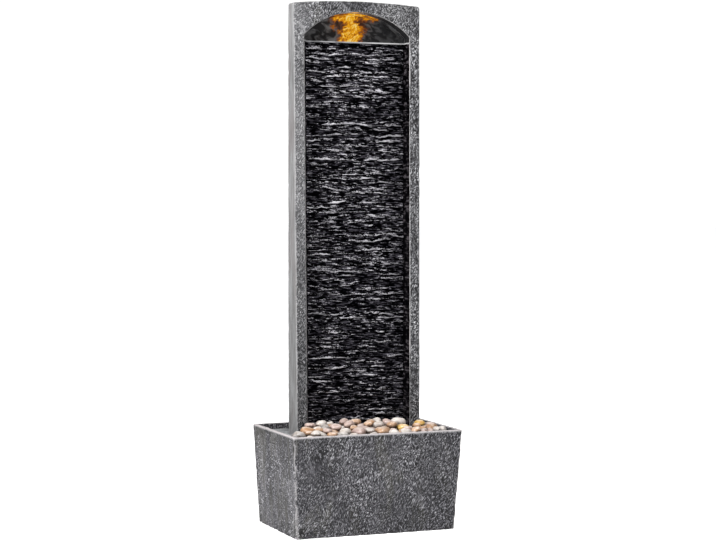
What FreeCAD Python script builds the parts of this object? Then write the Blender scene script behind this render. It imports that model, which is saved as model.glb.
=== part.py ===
import FreeCAD, Part
import math
import os
import random
from FreeCAD import Vector

os.makedirs("parts", exist_ok=True)

# Garden wall fountain, in millimetres. X runs to the right, Y to the back and Z up. The origin
# is on the floor, under the centre of the basin's rim.

# Whole object
total_height = 1000.0
skin_gap = 0.3
sliding_gap = 1.5
screw_gap = 0.2
bore_gap = 0.1
slip_gap = 0.05
overcut = 1.0
through = 99.0
weld = 0.5
drive_slot_width = 0.8

# Basin
basin_width = 338.0
basin_depth = 236.5
basin_height = 189.0
basin_side_taper = 10.8
basin_front_taper = 14.4
basin_back_taper = 5.0
basin_wall = 8.0
basin_floor = 8.0
basin_corner_radius = 4.0
rim_edge_radius = 1.6
ledge_width = 5.0
ledge_drop = 16.0

# Drain and cable outlet in the basin's back wall
drain_inset = 57.0
drain_z = 27.0
drain_radius = 8.0
drain_flange_radius = 12.5
drain_flange_thickness = 3.0
drain_grip_width = 4.0
drain_grip_depth = 1.8
drain_plug_gap = 0.35
outlet_inset = 57.0
outlet_z = 156.0
outlet_radius = 9.0
outlet_flange_radius = 12.5
outlet_flange_thickness = 2.5
outlet_cable_radius = 4.2
recess_gap = 0.5

# Tower frame
tower_width_top = 258.7
tower_width_foot = 248.5
tower_front_top = -5.2
tower_front_foot = -17.0
tower_back_top = 24.5
tower_back_foot = 36.6
tower_wall = 4.0
tower_foot_plate = 6.0
crown_rise = 6.0
head_corner_radius = 5.0
front_edge_radius = 1.5
stile_width_top = 21.6
stile_width_foot = 20.6
arch_spring_drop = 66.0
arch_rise = 45.0
sill_height = 32.0
reveal_depth = 27.0

# Floor bosses and screws that hold the tower
floor_boss_radius = 6.5
floor_boss_height = 5.0
floor_boss_inset = 12.0
foot_screw_radius = 2.0
foot_screw_length = 9.0
foot_screw_head_radius = 4.0
foot_screw_head = 2.6

# Water wall
skirt_drop = 23.0
lip_drop = 76.0
lip_thickness = 2.4
lip_overhang = 1.6
lip_hook_depth = 5.0
carrier_thickness = 3.6
carrier_flange = 2.4
carrier_skin = 0.4
cheek_thickness = 3.0
cheek_setback = 1.5
slate_back_depth = 1.8
ripple_count = 62
ripple_depth = 3.4
ripple_depth_swing = 1.2
ripple_wave = 2.1
ripple_stations = 11
slate_gap = 0.1
cheek_gap = 0.2
lip_gap = 0.4

# Weir trough behind the top of the water wall
trough_wall = 2.5
trough_height = 50.0
trough_depth = 27.0
trough_end_gap = 1.0
trough_screw_radius = 1.5
trough_screw_spacing = 80.0
trough_screw_drop = 14.0
trough_screw_length = 5.2
trough_screw_head_radius = 3.0
trough_screw_head = 1.8

# Hose and its fittings
hose_y = 39.0
hose_bore_radius = 6.2
hose_wall = 1.8
barb_length = 15.0
barb_rings = 2
barb_swell = 0.15
barb_neck = 0.45
barb_bore_radius = 4.6
hose_end_gap = 0.5
fitting_flange_radius = 9.0
fitting_flange = 2.0
fitting_thread_radius = 6.6
fitting_nut_radius = 9.5
fitting_nut_height = 5.0
fitting_thread_show = 1.5
clamp_width = 7.0
clamp_thickness = 1.4
clamp_ear = 5.0
clamp_split = 1.2
clamp_inset = 3.0
clamp_gap = 0.25
saddle_shares = (0.32, 0.66, 0.88)
saddle_width = 12.0
saddle_thickness = 2.4
saddle_foot = 11.0

# Alcove above the lip
alcove_depth = 44.0
liner_thickness = 2.5
liner_step = 3.0
liner_flange = 2.2

# Light under the arch
lamp_width = 50.0
lamp_depth = 13.0
lamp_setback = 8.0
lamp_wall = 1.6
lamp_pad_width = 66.0
lamp_pad_depth = 17.0
lamp_pad_rise = 7.0
lamp_recess = 0.6
lamp_height = 11.5
lamp_flange = 1.8
lamp_lens = 1.6
lamp_board = 1.2
lamp_board_height = 6.6
lens_rib_pitch = 5.0
lens_rib_width = 1.2
lens_rib_depth = 0.4
lens_ribs = 9
lamp_led_count = 5
lamp_led_radius = 1.6
lamp_led_height = 1.4
lamp_led_inset = 5.0
lamp_gland_radius = 2.0
lamp_gland_length = 4.0
lamp_gland_drop = 2.4
lamp_screw_radius = 1.2
lamp_screw_length = 5.0
lamp_screw_head_radius = 2.2
lamp_screw_head = 1.4

# Rear cover
cover_plate = 3.0
cover_wall = 3.0
cover_flare = 5.5
cover_back = 58.0
cover_crown_drop = 12.0
cover_rise = 43.0
cover_edge_radius = 6.0
cover_screw_rows = 4
cover_screw_low = 50.0
cover_screw_drop = 44.0
cover_boss_radius = 4.2
cover_screw_radius = 1.6
cover_screw_length = 12.0
cover_screw_head_radius = 3.4
cover_screw_head = 2.0

# Deck in two lift-out parts
deck_thickness = 5.0
deck_gap = 1.2
deck_split_gap = 2.4
deck_corner_radius = 6.0
deck_lift = 60.0
slot_width = 5.0
slot_length = 30.0
slot_pitch_x = 19.0
slot_pitch_y = 38.0
slot_rows = 2
slot_columns = 15
leg_x = 88.0
leg_y = -40.0
leg_radius = 6.0
finger_hole_radius = 11.0
finger_hole_y = 85.0
tongue_gap = 1.5

# Loose stones
stone_seed = 3
stone_long_min = 9.5
stone_long_max = 16.5
stone_wide_share = (0.7, 0.9)
stone_thick_share = (0.48, 0.62)
stone_sides = 8
stone_levels = (-0.93, -0.42, 0.42, 0.93)
stone_swing = 0.07
stone_tilt = 16.0
stone_gap = 0.35
heap_front_rise = 18.0
heap_wall_rise = 29.0
heap_arm_rise = 21.0
heap_left_corner = (-118.0, -18.0)
heap_left_slope = 1.25
heap_curve = 1.5
heap_tries = 24
heap_misses = 40
heap_cell = 1.5
stone_swell = 1.05
heap_arm_y = 4.0
stone_colours = ("tan", "pink", "grey", "white", "ochre")
stone_shares = (0.42, 0.3, 0.08, 0.2, 0.0)
# Near each of these places, the stone that lies highest has this colour
chosen_stones = (("tan", -113.0, -40.0), ("pink", -95.0, -40.0), ("grey", -80.0, -40.0),
                 ("pink", -62.0, -42.0), ("tan", -28.0, -42.0), ("tan", 13.0, -40.0),
                 ("grey", 32.0, -40.0), ("tan", 46.0, -40.0), ("white", 71.0, -40.0),
                 ("white", 124.0, -38.0), ("grey", -150.0, -65.0), ("tan", -122.0, -75.0),
                 ("tan", -86.0, -65.0), ("pink", -76.0, -78.0), ("white", -50.0, -85.0),
                 ("tan", -35.0, -60.0), ("pink", 4.0, -62.0), ("white", 23.0, -62.0),
                 ("tan", 49.0, -62.0), ("tan", 72.0, -65.0), ("pink", 84.0, -57.0),
                 ("tan", 111.0, -57.0), ("tan", 126.0, -55.0), ("white", 147.0, -55.0),
                 ("white", 146.0, -75.0), ("ochre", 82.0, -45.0), ("ochre", 103.0, -45.0))

# Pump: the shaft lies along X
pump_shaft_y = 53.0
pump_shaft_z = 44.0
pump_body_width = 50.0
pump_body_depth = 48.0
pump_body_height = 54.0
pump_edge_radius = 6.0
pump_chamber_length = 18.0
pump_chamber_radius = 17.0
pump_chamber_wall = 4.0
pump_outlet_boss_radius = 8.5
pump_outlet_radius = 5.0
pump_outlet_rise = 30.0
pump_cover_length = 19.0
pump_cover_wall = 2.2
pump_cover_slot = 2.6
pump_cover_slots = 7
pump_eye_radius = 7.5
pump_gland_radius = 5.0
pump_gland_length = 9.0
pump_gland_bore = 2.6
rotor_bore_radius = 9.2
rotor_bore_length = 27.0
magnet_radius = 8.4
magnet_length = 24.0
impeller_radius = 15.4
impeller_disc = 1.6
impeller_blade_height = 9.0
impeller_blade_thickness = 1.4
impeller_blades = 6
impeller_hub_radius = 4.2
impeller_core_radius = 4.2
impeller_end_gap = 1.0
blade_sweep = (0.0, 14.0, 42.0)
blade_tip_inset = 0.2
shaft_radius = 1.5
shaft_end_gap = 0.5
bush_holder_wall = 1.6
spoke_width = 2.0
bush_radius = 3.4
bush_length = 4.0
cup_radius = 8.0
cup_height = 7.0
cup_rim = 2.4
cup_neck_radius = 4.2
cup_stem_radius = 2.4
cup_stem_length = 5.0
cup_inset_x = 10.0
cup_inset_y = 11.0
nozzle_hex_radius = 9.5
nozzle_hex_height = 6.0
nozzle_spigot = 6.0
nozzle_bore_radius = 3.8
dial_radius = 13.0
dial_thickness = 2.4
dial_pin_radius = 2.5
dial_pin_gap = 0.06
dial_cap_radius = 3.9
dial_cap = 1.2
dial_tab = 6.0
dial_tab_width = 4.0
dial_window_radius = 3.2
dial_window_circle = 8.0
dial_windows = 3

# Heights and places worked out from the driving sizes
foot_z = basin_floor + floor_boss_height
ledge_z = basin_height - ledge_drop
deck_top_z = ledge_z + deck_thickness
wall_bottom_z = ledge_z - skirt_drop
arch_spring_z = total_height - arch_spring_drop
arch_crown_z = arch_spring_z + arch_rise
lip_z = total_height - lip_drop
wall_top_z = lip_z - lip_thickness
cover_crown_z = total_height - cover_crown_drop
cover_spring_z = cover_crown_z - cover_rise
lamp_bottom = arch_crown_z + lamp_recess
lamp_pad_top = arch_crown_z + lamp_pad_rise
lamp_board_z = lamp_bottom + lamp_board_height
hose_radius = hose_bore_radius + hose_wall
trough_bottom_z = lip_z - trough_height
drain_x = drain_inset - basin_width / 2
outlet_x = basin_width / 2 - outlet_inset
pump_base_z = basin_floor + cup_height
pump_outlet_top = pump_shaft_z + pump_outlet_rise
fitting_end_z = trough_bottom_z - fitting_nut_height - fitting_thread_show


# Working shapes

def save(shape, node):
    shape.exportStep("parts/" + node + ".step")


def box(x0, x1, y0, y1, z0, z1):
    return Part.makeBox(x1 - x0, y1 - y0, z1 - z0, Vector(x0, y0, z0))


def rod(radius, length, start, direction):
    return Part.makeCylinder(radius, length, start, direction)


def along_x(radius, x0, x1, y, z):
    return rod(radius, x1 - x0, Vector(x0, y, z), Vector(1, 0, 0))


def along_y(radius, y0, y1, x, z):
    return rod(radius, y1 - y0, Vector(x, y0, z), Vector(0, 1, 0))


def along_z(radius, z0, z1, x, y):
    return rod(radius, z1 - z0, Vector(x, y, z0), Vector(0, 0, 1))


def corner_points(outline, z):
    x0, x1, y0, y1 = outline
    return [Vector(x0, y0, z), Vector(x1, y0, z), Vector(x1, y1, z), Vector(x0, y1, z)]


def flat_face(points):
    return Part.Face(Part.makePolygon(points + points[:1]))


def tapered_block(low, high, z0, z1, radius):
    bottom = corner_points(low, z0)
    top = corner_points(high, z1)
    faces = [flat_face(bottom[::-1]), flat_face(top)]
    for here in range(4):
        after = (here + 1) % 4
        faces.append(flat_face([bottom[here], bottom[after], top[after], top[here]]))
    block = Part.makeSolid(Part.makeShell(faces))
    rising = [e for e in block.Edges if abs(e.Vertexes[0].Z - e.Vertexes[-1].Z) > 1]
    return block.makeFillet(radius, rising)


def fuse(first, *others):
    return first.fuse(list(others)).removeSplitter()


# Basin

def basin_outline(z, inset):
    drop = (basin_height - z) / basin_height
    half = basin_width / 2 - basin_side_taper * drop - inset
    front = -basin_depth / 2 + basin_front_taper * drop + inset
    back = basin_depth / 2 - basin_back_taper * drop - inset
    return (-half, half, front, back)


def basin_block(z0, z1, inset):
    low = basin_outline(z0, inset)
    high = basin_outline(z1, inset)
    return tapered_block(low, high, z0, z1, basin_corner_radius)


def basin_back(z):
    return basin_outline(z, 0.0)[3]


def foot_screw_places():
    places = []
    for side in (-1, 1):
        x = side * (half_width(foot_z) - stile_width_foot / 2)
        for y in (front_y(foot_z) + floor_boss_inset, back_y(foot_z) - floor_boss_inset):
            places.append((x, y))
    return places


def basin():
    outer = basin_block(0.0, basin_height, 0.0)
    well = basin_block(basin_floor, ledge_z, basin_wall + ledge_width)
    rebate = basin_block(ledge_z, basin_height + overcut, basin_wall)
    rim = [e for e in outer.Edges if min(v.Z for v in e.Vertexes) > basin_height - 0.1]
    outer = outer.makeFillet(rim_edge_radius, rim)
    shape = outer.cut([well, rebate])
    for x, y in foot_screw_places():
        boss = along_z(floor_boss_radius, basin_floor, foot_z, x, y)
        shape = shape.fuse(boss)
    shape = shape.removeSplitter()
    hole_bottom = foot_z + tower_foot_plate - foot_screw_length - overcut
    for x, y in foot_screw_places():
        shape = shape.cut(along_z(foot_screw_radius + bore_gap, hole_bottom, foot_z + overcut, x, y))
    for cut in wall_openings():
        shape = shape.cut(cut)
    return shape


def back_taper_over(reach):
    return basin_back_taper / basin_height * reach


def drain_seat():
    reach = drain_flange_radius + recess_gap
    return basin_back(drain_z) - back_taper_over(reach) - drain_flange_thickness


def outlet_seat():
    reach = outlet_flange_radius + recess_gap
    return basin_back(outlet_z) - back_taper_over(reach) - outlet_flange_thickness


def outlet_inside():
    reach = outlet_flange_radius + recess_gap
    return basin_back(outlet_z) - basin_wall - ledge_width - back_taper_over(reach)


def wall_openings():
    outside = basin_depth / 2 + overcut
    inside = outside - 2 * (basin_wall + ledge_width)
    return [
        along_y(drain_radius, inside, outside, drain_x, drain_z),
        along_y(drain_flange_radius + recess_gap, drain_seat(), outside, drain_x, drain_z),
        along_y(outlet_radius, inside, outside, outlet_x, outlet_z),
        along_y(outlet_flange_radius + recess_gap, outlet_seat(), outside, outlet_x, outlet_z),
        along_y(outlet_flange_radius + recess_gap, inside, outlet_inside(), outlet_x, outlet_z),
    ]


def drain_plug():
    seat = drain_seat()
    face = seat + drain_flange_thickness
    stem_end = basin_back(drain_z) - basin_wall - ledge_width
    stem = along_y(drain_radius - drain_plug_gap, stem_end, seat + weld, drain_x, drain_z)
    flange = along_y(drain_flange_radius, seat, face, drain_x, drain_z)
    shape = fuse(stem, flange)
    for side in (-1, 1):
        x = drain_x + side * drain_grip_width
        grip = box(x - drain_grip_width / 2, x + drain_grip_width / 2, face - drain_grip_depth,
                   face + overcut, drain_z - drain_radius, drain_z + drain_radius)
        shape = shape.cut(grip)
    return shape


def cable_grommet():
    inside = outlet_inside()
    seat = outlet_seat()
    sleeve = along_y(outlet_radius - screw_gap, inside - weld, seat + weld, outlet_x, outlet_z)
    outer = along_y(outlet_flange_radius, seat, seat + outlet_flange_thickness, outlet_x, outlet_z)
    inner = along_y(outlet_flange_radius, inside - outlet_flange_thickness, inside, outlet_x,
                    outlet_z)
    bore = along_y(outlet_cable_radius, inside - through, seat + through, outlet_x, outlet_z)
    return fuse(sleeve, outer, inner).cut(bore)


# Tower planes: the front leans back and the back leans forward, so the section is a wedge

def between(z, foot, top):
    return foot + (top - foot) * (z - foot_z) / (total_height - foot_z)


def half_width(z):
    return between(z, tower_width_foot, tower_width_top) / 2


def front_y(z):
    return between(z, tower_front_foot, tower_front_top)


def back_y(z):
    return between(z, tower_back_foot, tower_back_top)


def back_lean():
    return (tower_back_foot - tower_back_top) / (total_height - foot_z)


def front_lean():
    return (tower_front_top - tower_front_foot) / (total_height - foot_z)


def opening_half(z):
    return half_width(z) - between(z, stile_width_foot, stile_width_top)


def on_front(x, z, depth):
    return Vector(x, front_y(z) + depth, z)


def on_back(x, z, depth):
    return Vector(x, back_y(z) - depth, z)


def upright(x, z, depth):
    return Vector(x, depth, z)


def arched_face(plane, depth, half, bottom_z, spring_z, crown_z):
    low_left = plane(-half(bottom_z), bottom_z, depth)
    low_right = plane(half(bottom_z), bottom_z, depth)
    spring_left = plane(-half(spring_z), spring_z, depth)
    spring_right = plane(half(spring_z), spring_z, depth)
    crown = plane(0.0, crown_z, depth)
    edges = [
        Part.LineSegment(low_left, low_right).toShape(),
        Part.LineSegment(low_right, spring_right).toShape(),
        Part.Arc(spring_right, crown, spring_left).toShape(),
        Part.LineSegment(spring_left, low_left).toShape(),
    ]
    return Part.Face(Part.Wire(edges))


def arched_block(plane, depth, length, half, bottom_z, spring_z, crown_z):
    face = arched_face(plane, depth, half, bottom_z, spring_z, crown_z)
    return face.extrude(Vector(0, length, 0))


def panel(half, z0, z1, near, far):
    corners = [
        on_front(-half(z0), z0, near),
        on_front(half(z0), z0, near),
        on_front(half(z1), z1, near),
        on_front(-half(z1), z1, near),
    ]
    return flat_face(corners).extrude(Vector(0, far - near, 0))


def strip(side, inner, outer, z0, z1, near, far):
    corners = [
        on_front(side * inner(z0), z0, near),
        on_front(side * outer(z0), z0, near),
        on_front(side * outer(z1), z1, near),
        on_front(side * inner(z1), z1, near),
    ]
    return flat_face(corners).extrude(Vector(0, far - near, 0))


def tower_wedge():
    points = [
        Vector(-basin_width, front_y(foot_z), foot_z),
        Vector(-basin_width, back_y(foot_z), foot_z),
        Vector(-basin_width, back_y(total_height), total_height + overcut),
        Vector(-basin_width, front_y(total_height), total_height + overcut),
    ]
    return flat_face(points).extrude(Vector(2 * basin_width, 0, 0))


def tower_outer():
    shoulder = total_height - crown_rise
    block = arched_block(on_front, 0.0, through, half_width, foot_z, shoulder, total_height)
    corners = []
    for edge in block.Edges:
        z_values = [v.Z for v in edge.Vertexes]
        if abs(min(z_values) - shoulder) < 0.01 and abs(max(z_values) - shoulder) < 0.01:
            if abs(edge.Vertexes[0].Y - edge.Vertexes[-1].Y) > 1:
                corners.append(edge)
    block = block.makeFillet(head_corner_radius, corners)
    return block.common(tower_wedge())


def lamp_y():
    return front_y(arch_crown_z) + lamp_setback + lamp_depth / 2


def cover_half():
    return opening_half(arch_spring_z) + cover_flare


def cover_screw_places():
    places = []
    low = wall_bottom_z + cover_screw_low
    high = arch_spring_z - cover_screw_drop
    for row in range(cover_screw_rows):
        z = low + (high - low) * row / (cover_screw_rows - 1)
        x = (cover_half() + half_width(z) - tower_wall) / 2
        places.append((-x, z))
        places.append((x, z))
    return places


def tower_shell():
    outer = tower_outer()
    soft = []
    for edge in outer.Edges:
        middle = edge.valueAt((edge.FirstParameter + edge.LastParameter) / 2)
        on_plane = all(abs(v.Y - front_y(v.Z)) < 0.02 for v in edge.Vertexes)
        if on_plane and middle.z > foot_z + overcut:
            soft.append(edge)
    outer = outer.makeFillet(front_edge_radius, soft)
    inner_half = lambda z: half_width(z) - tower_wall
    shoulder = total_height - crown_rise - tower_wall
    hollow = arched_block(
        on_front, tower_wall, through, inner_half, foot_z - overcut, shoulder,
        total_height - tower_wall
    )
    collar_half = lambda z: opening_half(z) + tower_wall
    collar = arched_block(
        on_front,
        tower_wall / 2,
        reveal_depth - tower_wall / 2,
        collar_half,
        sill_height - tower_wall,
        arch_spring_z,
        arch_crown_z + tower_wall,
    )
    opening = arched_block(
        on_front, -through, 2 * through, opening_half, sill_height, arch_spring_z, arch_crown_z
    )
    pad = box(
        -lamp_pad_width / 2,
        lamp_pad_width / 2,
        lamp_y() - lamp_pad_depth / 2,
        lamp_y() + lamp_pad_depth / 2,
        arch_crown_z - 2 * tower_wall,
        lamp_pad_top,
    )
    shape = outer.cut(hollow).fuse([collar, pad])
    for x, z in cover_screw_places():
        near = front_y(z) + tower_wall / 2
        far = back_y(z) - cover_plate - back_lean() * cover_boss_radius
        post = along_y(cover_boss_radius, near, far, x, z)
        shape = shape.fuse(post)
    for side in (-1, 1):
        plate = strip(side, collar_half, inner_half, foot_z, foot_z + tower_foot_plate, 0.0,
                      through)
        plate = fuse(plate, strip(side, opening_half, half_width, foot_z,
                                  foot_z + tower_foot_plate, 0.0, tower_wall))
        shape = shape.fuse(plate.common(tower_wedge()))
    shape = shape.cut(opening).removeSplitter()
    cuts = []
    for x, z in cover_screw_places():
        reach = cover_screw_length - cover_plate + overcut
        cuts.append(along_y(cover_screw_radius, back_y(z) - cover_plate - reach, through, x, z))
    for x, y in foot_screw_places():
        cuts.append(along_z(foot_screw_radius + screw_gap, 0.0, foot_z + 2 * tower_foot_plate, x, y))
    slot_half = lamp_width / 2 + skin_gap
    slot_near = lamp_y() - lamp_depth / 2 - skin_gap
    slot_far = lamp_y() + lamp_depth / 2 + skin_gap
    cuts.append(box(-slot_half, slot_half, slot_near, slot_far, arch_spring_z,
                    lamp_pad_top + overcut))
    for side in (-1, 1):
        x = side * (lamp_width + lamp_pad_width) / 4
        cuts.append(along_z(lamp_screw_radius, lamp_pad_top - lamp_screw_length,
                            lamp_pad_top + overcut, x, lamp_y()))
    return shape.cut(cuts)


def screw_down(radius, length, head_radius, head, x, y, z):
    half = drive_slot_width / 2
    shank = along_z(radius, z - length, z + weld, x, y)
    cap = along_z(head_radius, z, z + head, x, y)
    drive = box(x - head_radius, x + head_radius, y - half, y + half, z + head / 2,
                z + head + overcut)
    return shank.fuse(cap).removeSplitter().cut(drive)


def screw_from_back(radius, length, head_radius, head, x, y, z):
    half = drive_slot_width / 2
    shank = along_y(radius, y - length, y + weld, x, z)
    cap = along_y(head_radius, y, y + head, x, z)
    drive = box(x - head_radius, x + head_radius, y + head / 2, y + head + overcut, z - half,
                z + half)
    return shank.fuse(cap).removeSplitter().cut(drive)


def tower_screws():
    seat = foot_z + tower_foot_plate
    screws = []
    for x, y in foot_screw_places():
        screws.append(screw_down(foot_screw_radius - slip_gap, foot_screw_length,
                                 foot_screw_head_radius, foot_screw_head, x, y, seat))
    return Part.makeCompound(screws)


# Water wall: a channel with two cheeks carries the rippled slate

def cheek_outer(z):
    return opening_half(z) - cheek_gap


def cheek_inner(z):
    return opening_half(z) - cheek_thickness


def wall_carrier():
    flange_half = lambda z: opening_half(z) + carrier_flange
    far = reveal_depth + carrier_thickness
    plate = panel(flange_half, wall_bottom_z, wall_top_z, reveal_depth, far)
    cheeks = []
    for side in (-1, 1):
        cheeks.append(strip(side, cheek_inner, cheek_outer, wall_bottom_z, wall_top_z,
                            cheek_setback, reveal_depth + weld))
    return fuse(plate, *cheeks)


def ripple_point(share, step, steps):
    # Even steps are the hollows between ledges and odd steps their edges. Both wander
    # along the wall, so that ledges swell, fade and run into each other.
    pitch = (wall_top_z - wall_bottom_z) / steps
    angle = math.pi * share
    wander = math.sin(2.3 * angle + 1.9 * step) + 0.6 * math.sin(5.1 * angle + 0.7 * step)
    z = wall_bottom_z + pitch * step
    if 0 < step < steps:
        z += ripple_wave * wander
    swell = math.sin(1.7 * angle + 2.6 * step) + 0.5 * math.sin(4.3 * angle - 1.3 * step)
    out = (ripple_depth + ripple_depth_swing * swell) if step % 2 else 0.25 * ripple_depth_swing
    half = cheek_inner(z) - slate_gap
    depth = reveal_depth - slate_back_depth - out
    return on_front(share * half, z, depth)


def slate_face():
    steps = 2 * ripple_count
    profiles = []
    for station in range(ripple_stations):
        share = 2.0 * station / (ripple_stations - 1) - 1.0
        edge = [ripple_point(share, step, steps) for step in range(steps + 1)]
        half_top = cheek_inner(wall_top_z) - slate_gap
        half_low = cheek_inner(wall_bottom_z) - slate_gap
        edge.append(on_front(share * half_top, wall_top_z, reveal_depth))
        edge.append(on_front(share * half_low, wall_bottom_z, reveal_depth))
        profiles.append(Part.makePolygon(edge + edge[:1]))
    return Part.makeLoft(profiles, True, True)


def weir_lip():
    lip_half = lambda z: opening_half(z) - lip_gap
    near = reveal_depth - slate_back_depth - ripple_depth - lip_overhang
    far = reveal_depth + carrier_thickness + trough_wall + lip_gap
    blade = panel(lip_half, wall_top_z, lip_z, near, far + lip_thickness)
    hook_half = lambda z: cheek_inner(z) - 2 * trough_wall
    hook = panel(hook_half, wall_top_z - lip_hook_depth, wall_top_z + weld, far,
                 far + lip_thickness)
    returns = []
    for side in (-1, 1):
        returns.append(strip(side, cheek_inner, lip_half, wall_top_z, lip_z,
                             cheek_setback, near + weld))
    return fuse(blade, hook, *returns)


# Weir trough

def trough_near(z):
    return front_y(z) + reveal_depth + carrier_thickness


def trough_half(z):
    return cheek_inner(lip_z) - trough_end_gap


def weir_trough():
    near = reveal_depth + carrier_thickness
    far = near + trough_depth
    block = panel(trough_half, trough_bottom_z, lip_z, near, far)
    inner_half = lambda z: trough_half(z) - trough_wall
    room = panel(inner_half, trough_bottom_z + trough_wall, lip_z + overcut,
                 near + trough_wall, far - trough_wall)
    front_drop = panel(lambda z: trough_half(z) + overcut, wall_top_z, lip_z + overcut,
                       near - overcut, near + trough_wall + lip_thickness + overcut)
    shape = block.cut([room, front_drop])
    shape = shape.cut(along_z(fitting_thread_radius + screw_gap, trough_bottom_z - overcut,
                              trough_bottom_z + trough_wall + overcut, 0.0, hose_y))
    for x, z in trough_screw_places():
        shape = shape.cut(along_y(trough_screw_radius + bore_gap, 0.0,
                                  trough_near(z) + 2 * trough_wall, x, z))
    return shape


def trough_screw_places():
    z = wall_top_z - trough_screw_drop
    return [(step * trough_screw_spacing, z) for step in (-1, 0, 1)]


def trough_screws():
    screws = []
    for x, z in trough_screw_places():
        seat = trough_near(z) + trough_wall + front_lean() * trough_screw_head_radius
        screws.append(screw_from_back(trough_screw_radius, trough_screw_length,
                                      trough_screw_head_radius, trough_screw_head, x, seat, z))
    return Part.makeCompound(screws)


def bored_carrier():
    shape = wall_carrier()
    places = trough_screw_places()
    for z in saddle_heights():
        for side in (-1, 1):
            places.append((side * (hose_radius + saddle_foot / 2), z))
    for x, z in places:
        near = front_y(z) + reveal_depth + carrier_skin
        shape = shape.cut(along_y(trough_screw_radius + bore_gap, near, through, x, z))
    return shape


def barb(x, y, z, length, direction):
    shape = None
    rings = barb_rings
    pitch = length / rings
    for ring in range(rings):
        base = z + direction * pitch * ring
        low = Vector(x, y, min(base, base + direction * pitch))
        wide = hose_bore_radius + barb_swell
        slim = hose_bore_radius - barb_neck
        first, last = (wide, slim) if direction > 0 else (slim, wide)
        cone = Part.makeCone(first, last, pitch, low, Vector(0, 0, 1))
        shape = cone if shape is None else shape.fuse(cone)
    return shape


def trough_fitting():
    floor_z = trough_bottom_z + trough_wall
    flange = along_z(fitting_flange_radius, floor_z, floor_z + fitting_flange, 0.0, hose_y)
    thread = along_z(fitting_thread_radius, fitting_end_z, floor_z + weld, 0.0, hose_y)
    tail = barb(0.0, hose_y, fitting_end_z, barb_length, -1)
    bore = along_z(barb_bore_radius, 0.0, total_height, 0.0, hose_y)
    return fuse(flange, thread, tail).cut(bore)


def hexagon(radius, z0, z1, x, y):
    points = []
    for corner in range(7):
        angle = math.radians(60 * corner)
        points.append(Vector(x + radius * math.cos(angle), y + radius * math.sin(angle), z0))
    return Part.Face(Part.makePolygon(points)).extrude(Vector(0, 0, z1 - z0))


def fitting_nut():
    nut = hexagon(fitting_nut_radius, trough_bottom_z - fitting_nut_height, trough_bottom_z,
                  0.0, hose_y)
    return nut.cut(along_z(fitting_thread_radius + bore_gap, 0.0, total_height, 0.0, hose_y))


def hose_top():
    return fitting_end_z - hose_end_gap


def hose_bottom():
    return pump_outlet_top + nozzle_hex_height + hose_end_gap


def riser_hose():
    tube = along_z(hose_radius, hose_bottom(), hose_top(), 0.0, hose_y)
    return tube.cut(along_z(hose_bore_radius, 0.0, total_height, 0.0, hose_y))


def hose_clamp(z):
    inner = hose_radius + clamp_gap
    outer = inner + clamp_thickness
    slit = clamp_split / 2
    ring = along_z(outer, z, z + clamp_width, 0.0, hose_y)
    ear = box(-clamp_thickness - slit, clamp_thickness + slit, hose_y + outer - weld,
              hose_y + outer + clamp_ear, z, z + clamp_width)
    split = box(-slit, slit, hose_y, hose_y + through, z - overcut, z + clamp_width + overcut)
    return ring.fuse(ear).cut([split, along_z(inner, 0.0, total_height, 0.0, hose_y)])


def hose_clamps():
    low = hose_bottom() + clamp_inset
    high = hose_top() - clamp_inset - clamp_width
    return Part.makeCompound([hose_clamp(low), hose_clamp(high)])


def saddle_heights():
    return [hose_bottom() + (hose_top() - hose_bottom()) * share for share in saddle_shares]


def hose_saddle(z):
    wall_face = front_y(z) + reveal_depth + carrier_thickness
    inner = hose_radius + clamp_gap
    outer = inner + saddle_thickness
    z0 = z - saddle_width / 2
    z1 = z + saddle_width / 2
    cup = along_z(outer, z0, z1, 0.0, hose_y)
    bridge = box(-outer, outer, wall_face, hose_y, z0, z1)
    foot = box(-outer - saddle_foot, outer + saddle_foot, wall_face, wall_face + saddle_thickness,
               z0, z1)
    lean = panel(lambda height: basin_width, z0 - overcut, z1 + overcut, -through,
                 reveal_depth + carrier_thickness)
    room = box(-inner, inner, 0.0, hose_y, z0 - overcut, z1 + overcut)
    shape = cup.fuse([bridge, foot])
    return shape.cut([lean, along_z(inner, 0.0, total_height, 0.0, hose_y), room])


def hose_saddles():
    return Part.makeCompound([hose_saddle(z) for z in saddle_heights()])


# Alcove and its light

def alcove_liner():
    step_half = lambda z: opening_half(z) - liner_step
    wall_half = lambda z: opening_half(z) - liner_step + liner_thickness
    flange_half = lambda z: opening_half(z) + liner_flange
    crown = arch_crown_z - liner_step
    hood = arched_block(on_front, reveal_depth, alcove_depth + liner_thickness - reveal_depth,
                        wall_half, lip_z, arch_spring_z, crown + liner_thickness)
    flange = arched_block(on_front, reveal_depth, liner_thickness, flange_half, lip_z,
                          arch_spring_z, arch_crown_z + liner_flange)
    room = arched_block(on_front, reveal_depth - overcut, alcove_depth - reveal_depth + overcut,
                        step_half, lip_z - overcut, arch_spring_z, crown)
    rear = trough_near(lip_z) + trough_depth
    shelf = box(-trough_half(lip_z), trough_half(lip_z), front_y(lip_z) + alcove_depth + weld,
                rear, lip_z, lip_z + liner_thickness)
    return fuse(hood, flange).cut(room).fuse(shelf).removeSplitter()


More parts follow.
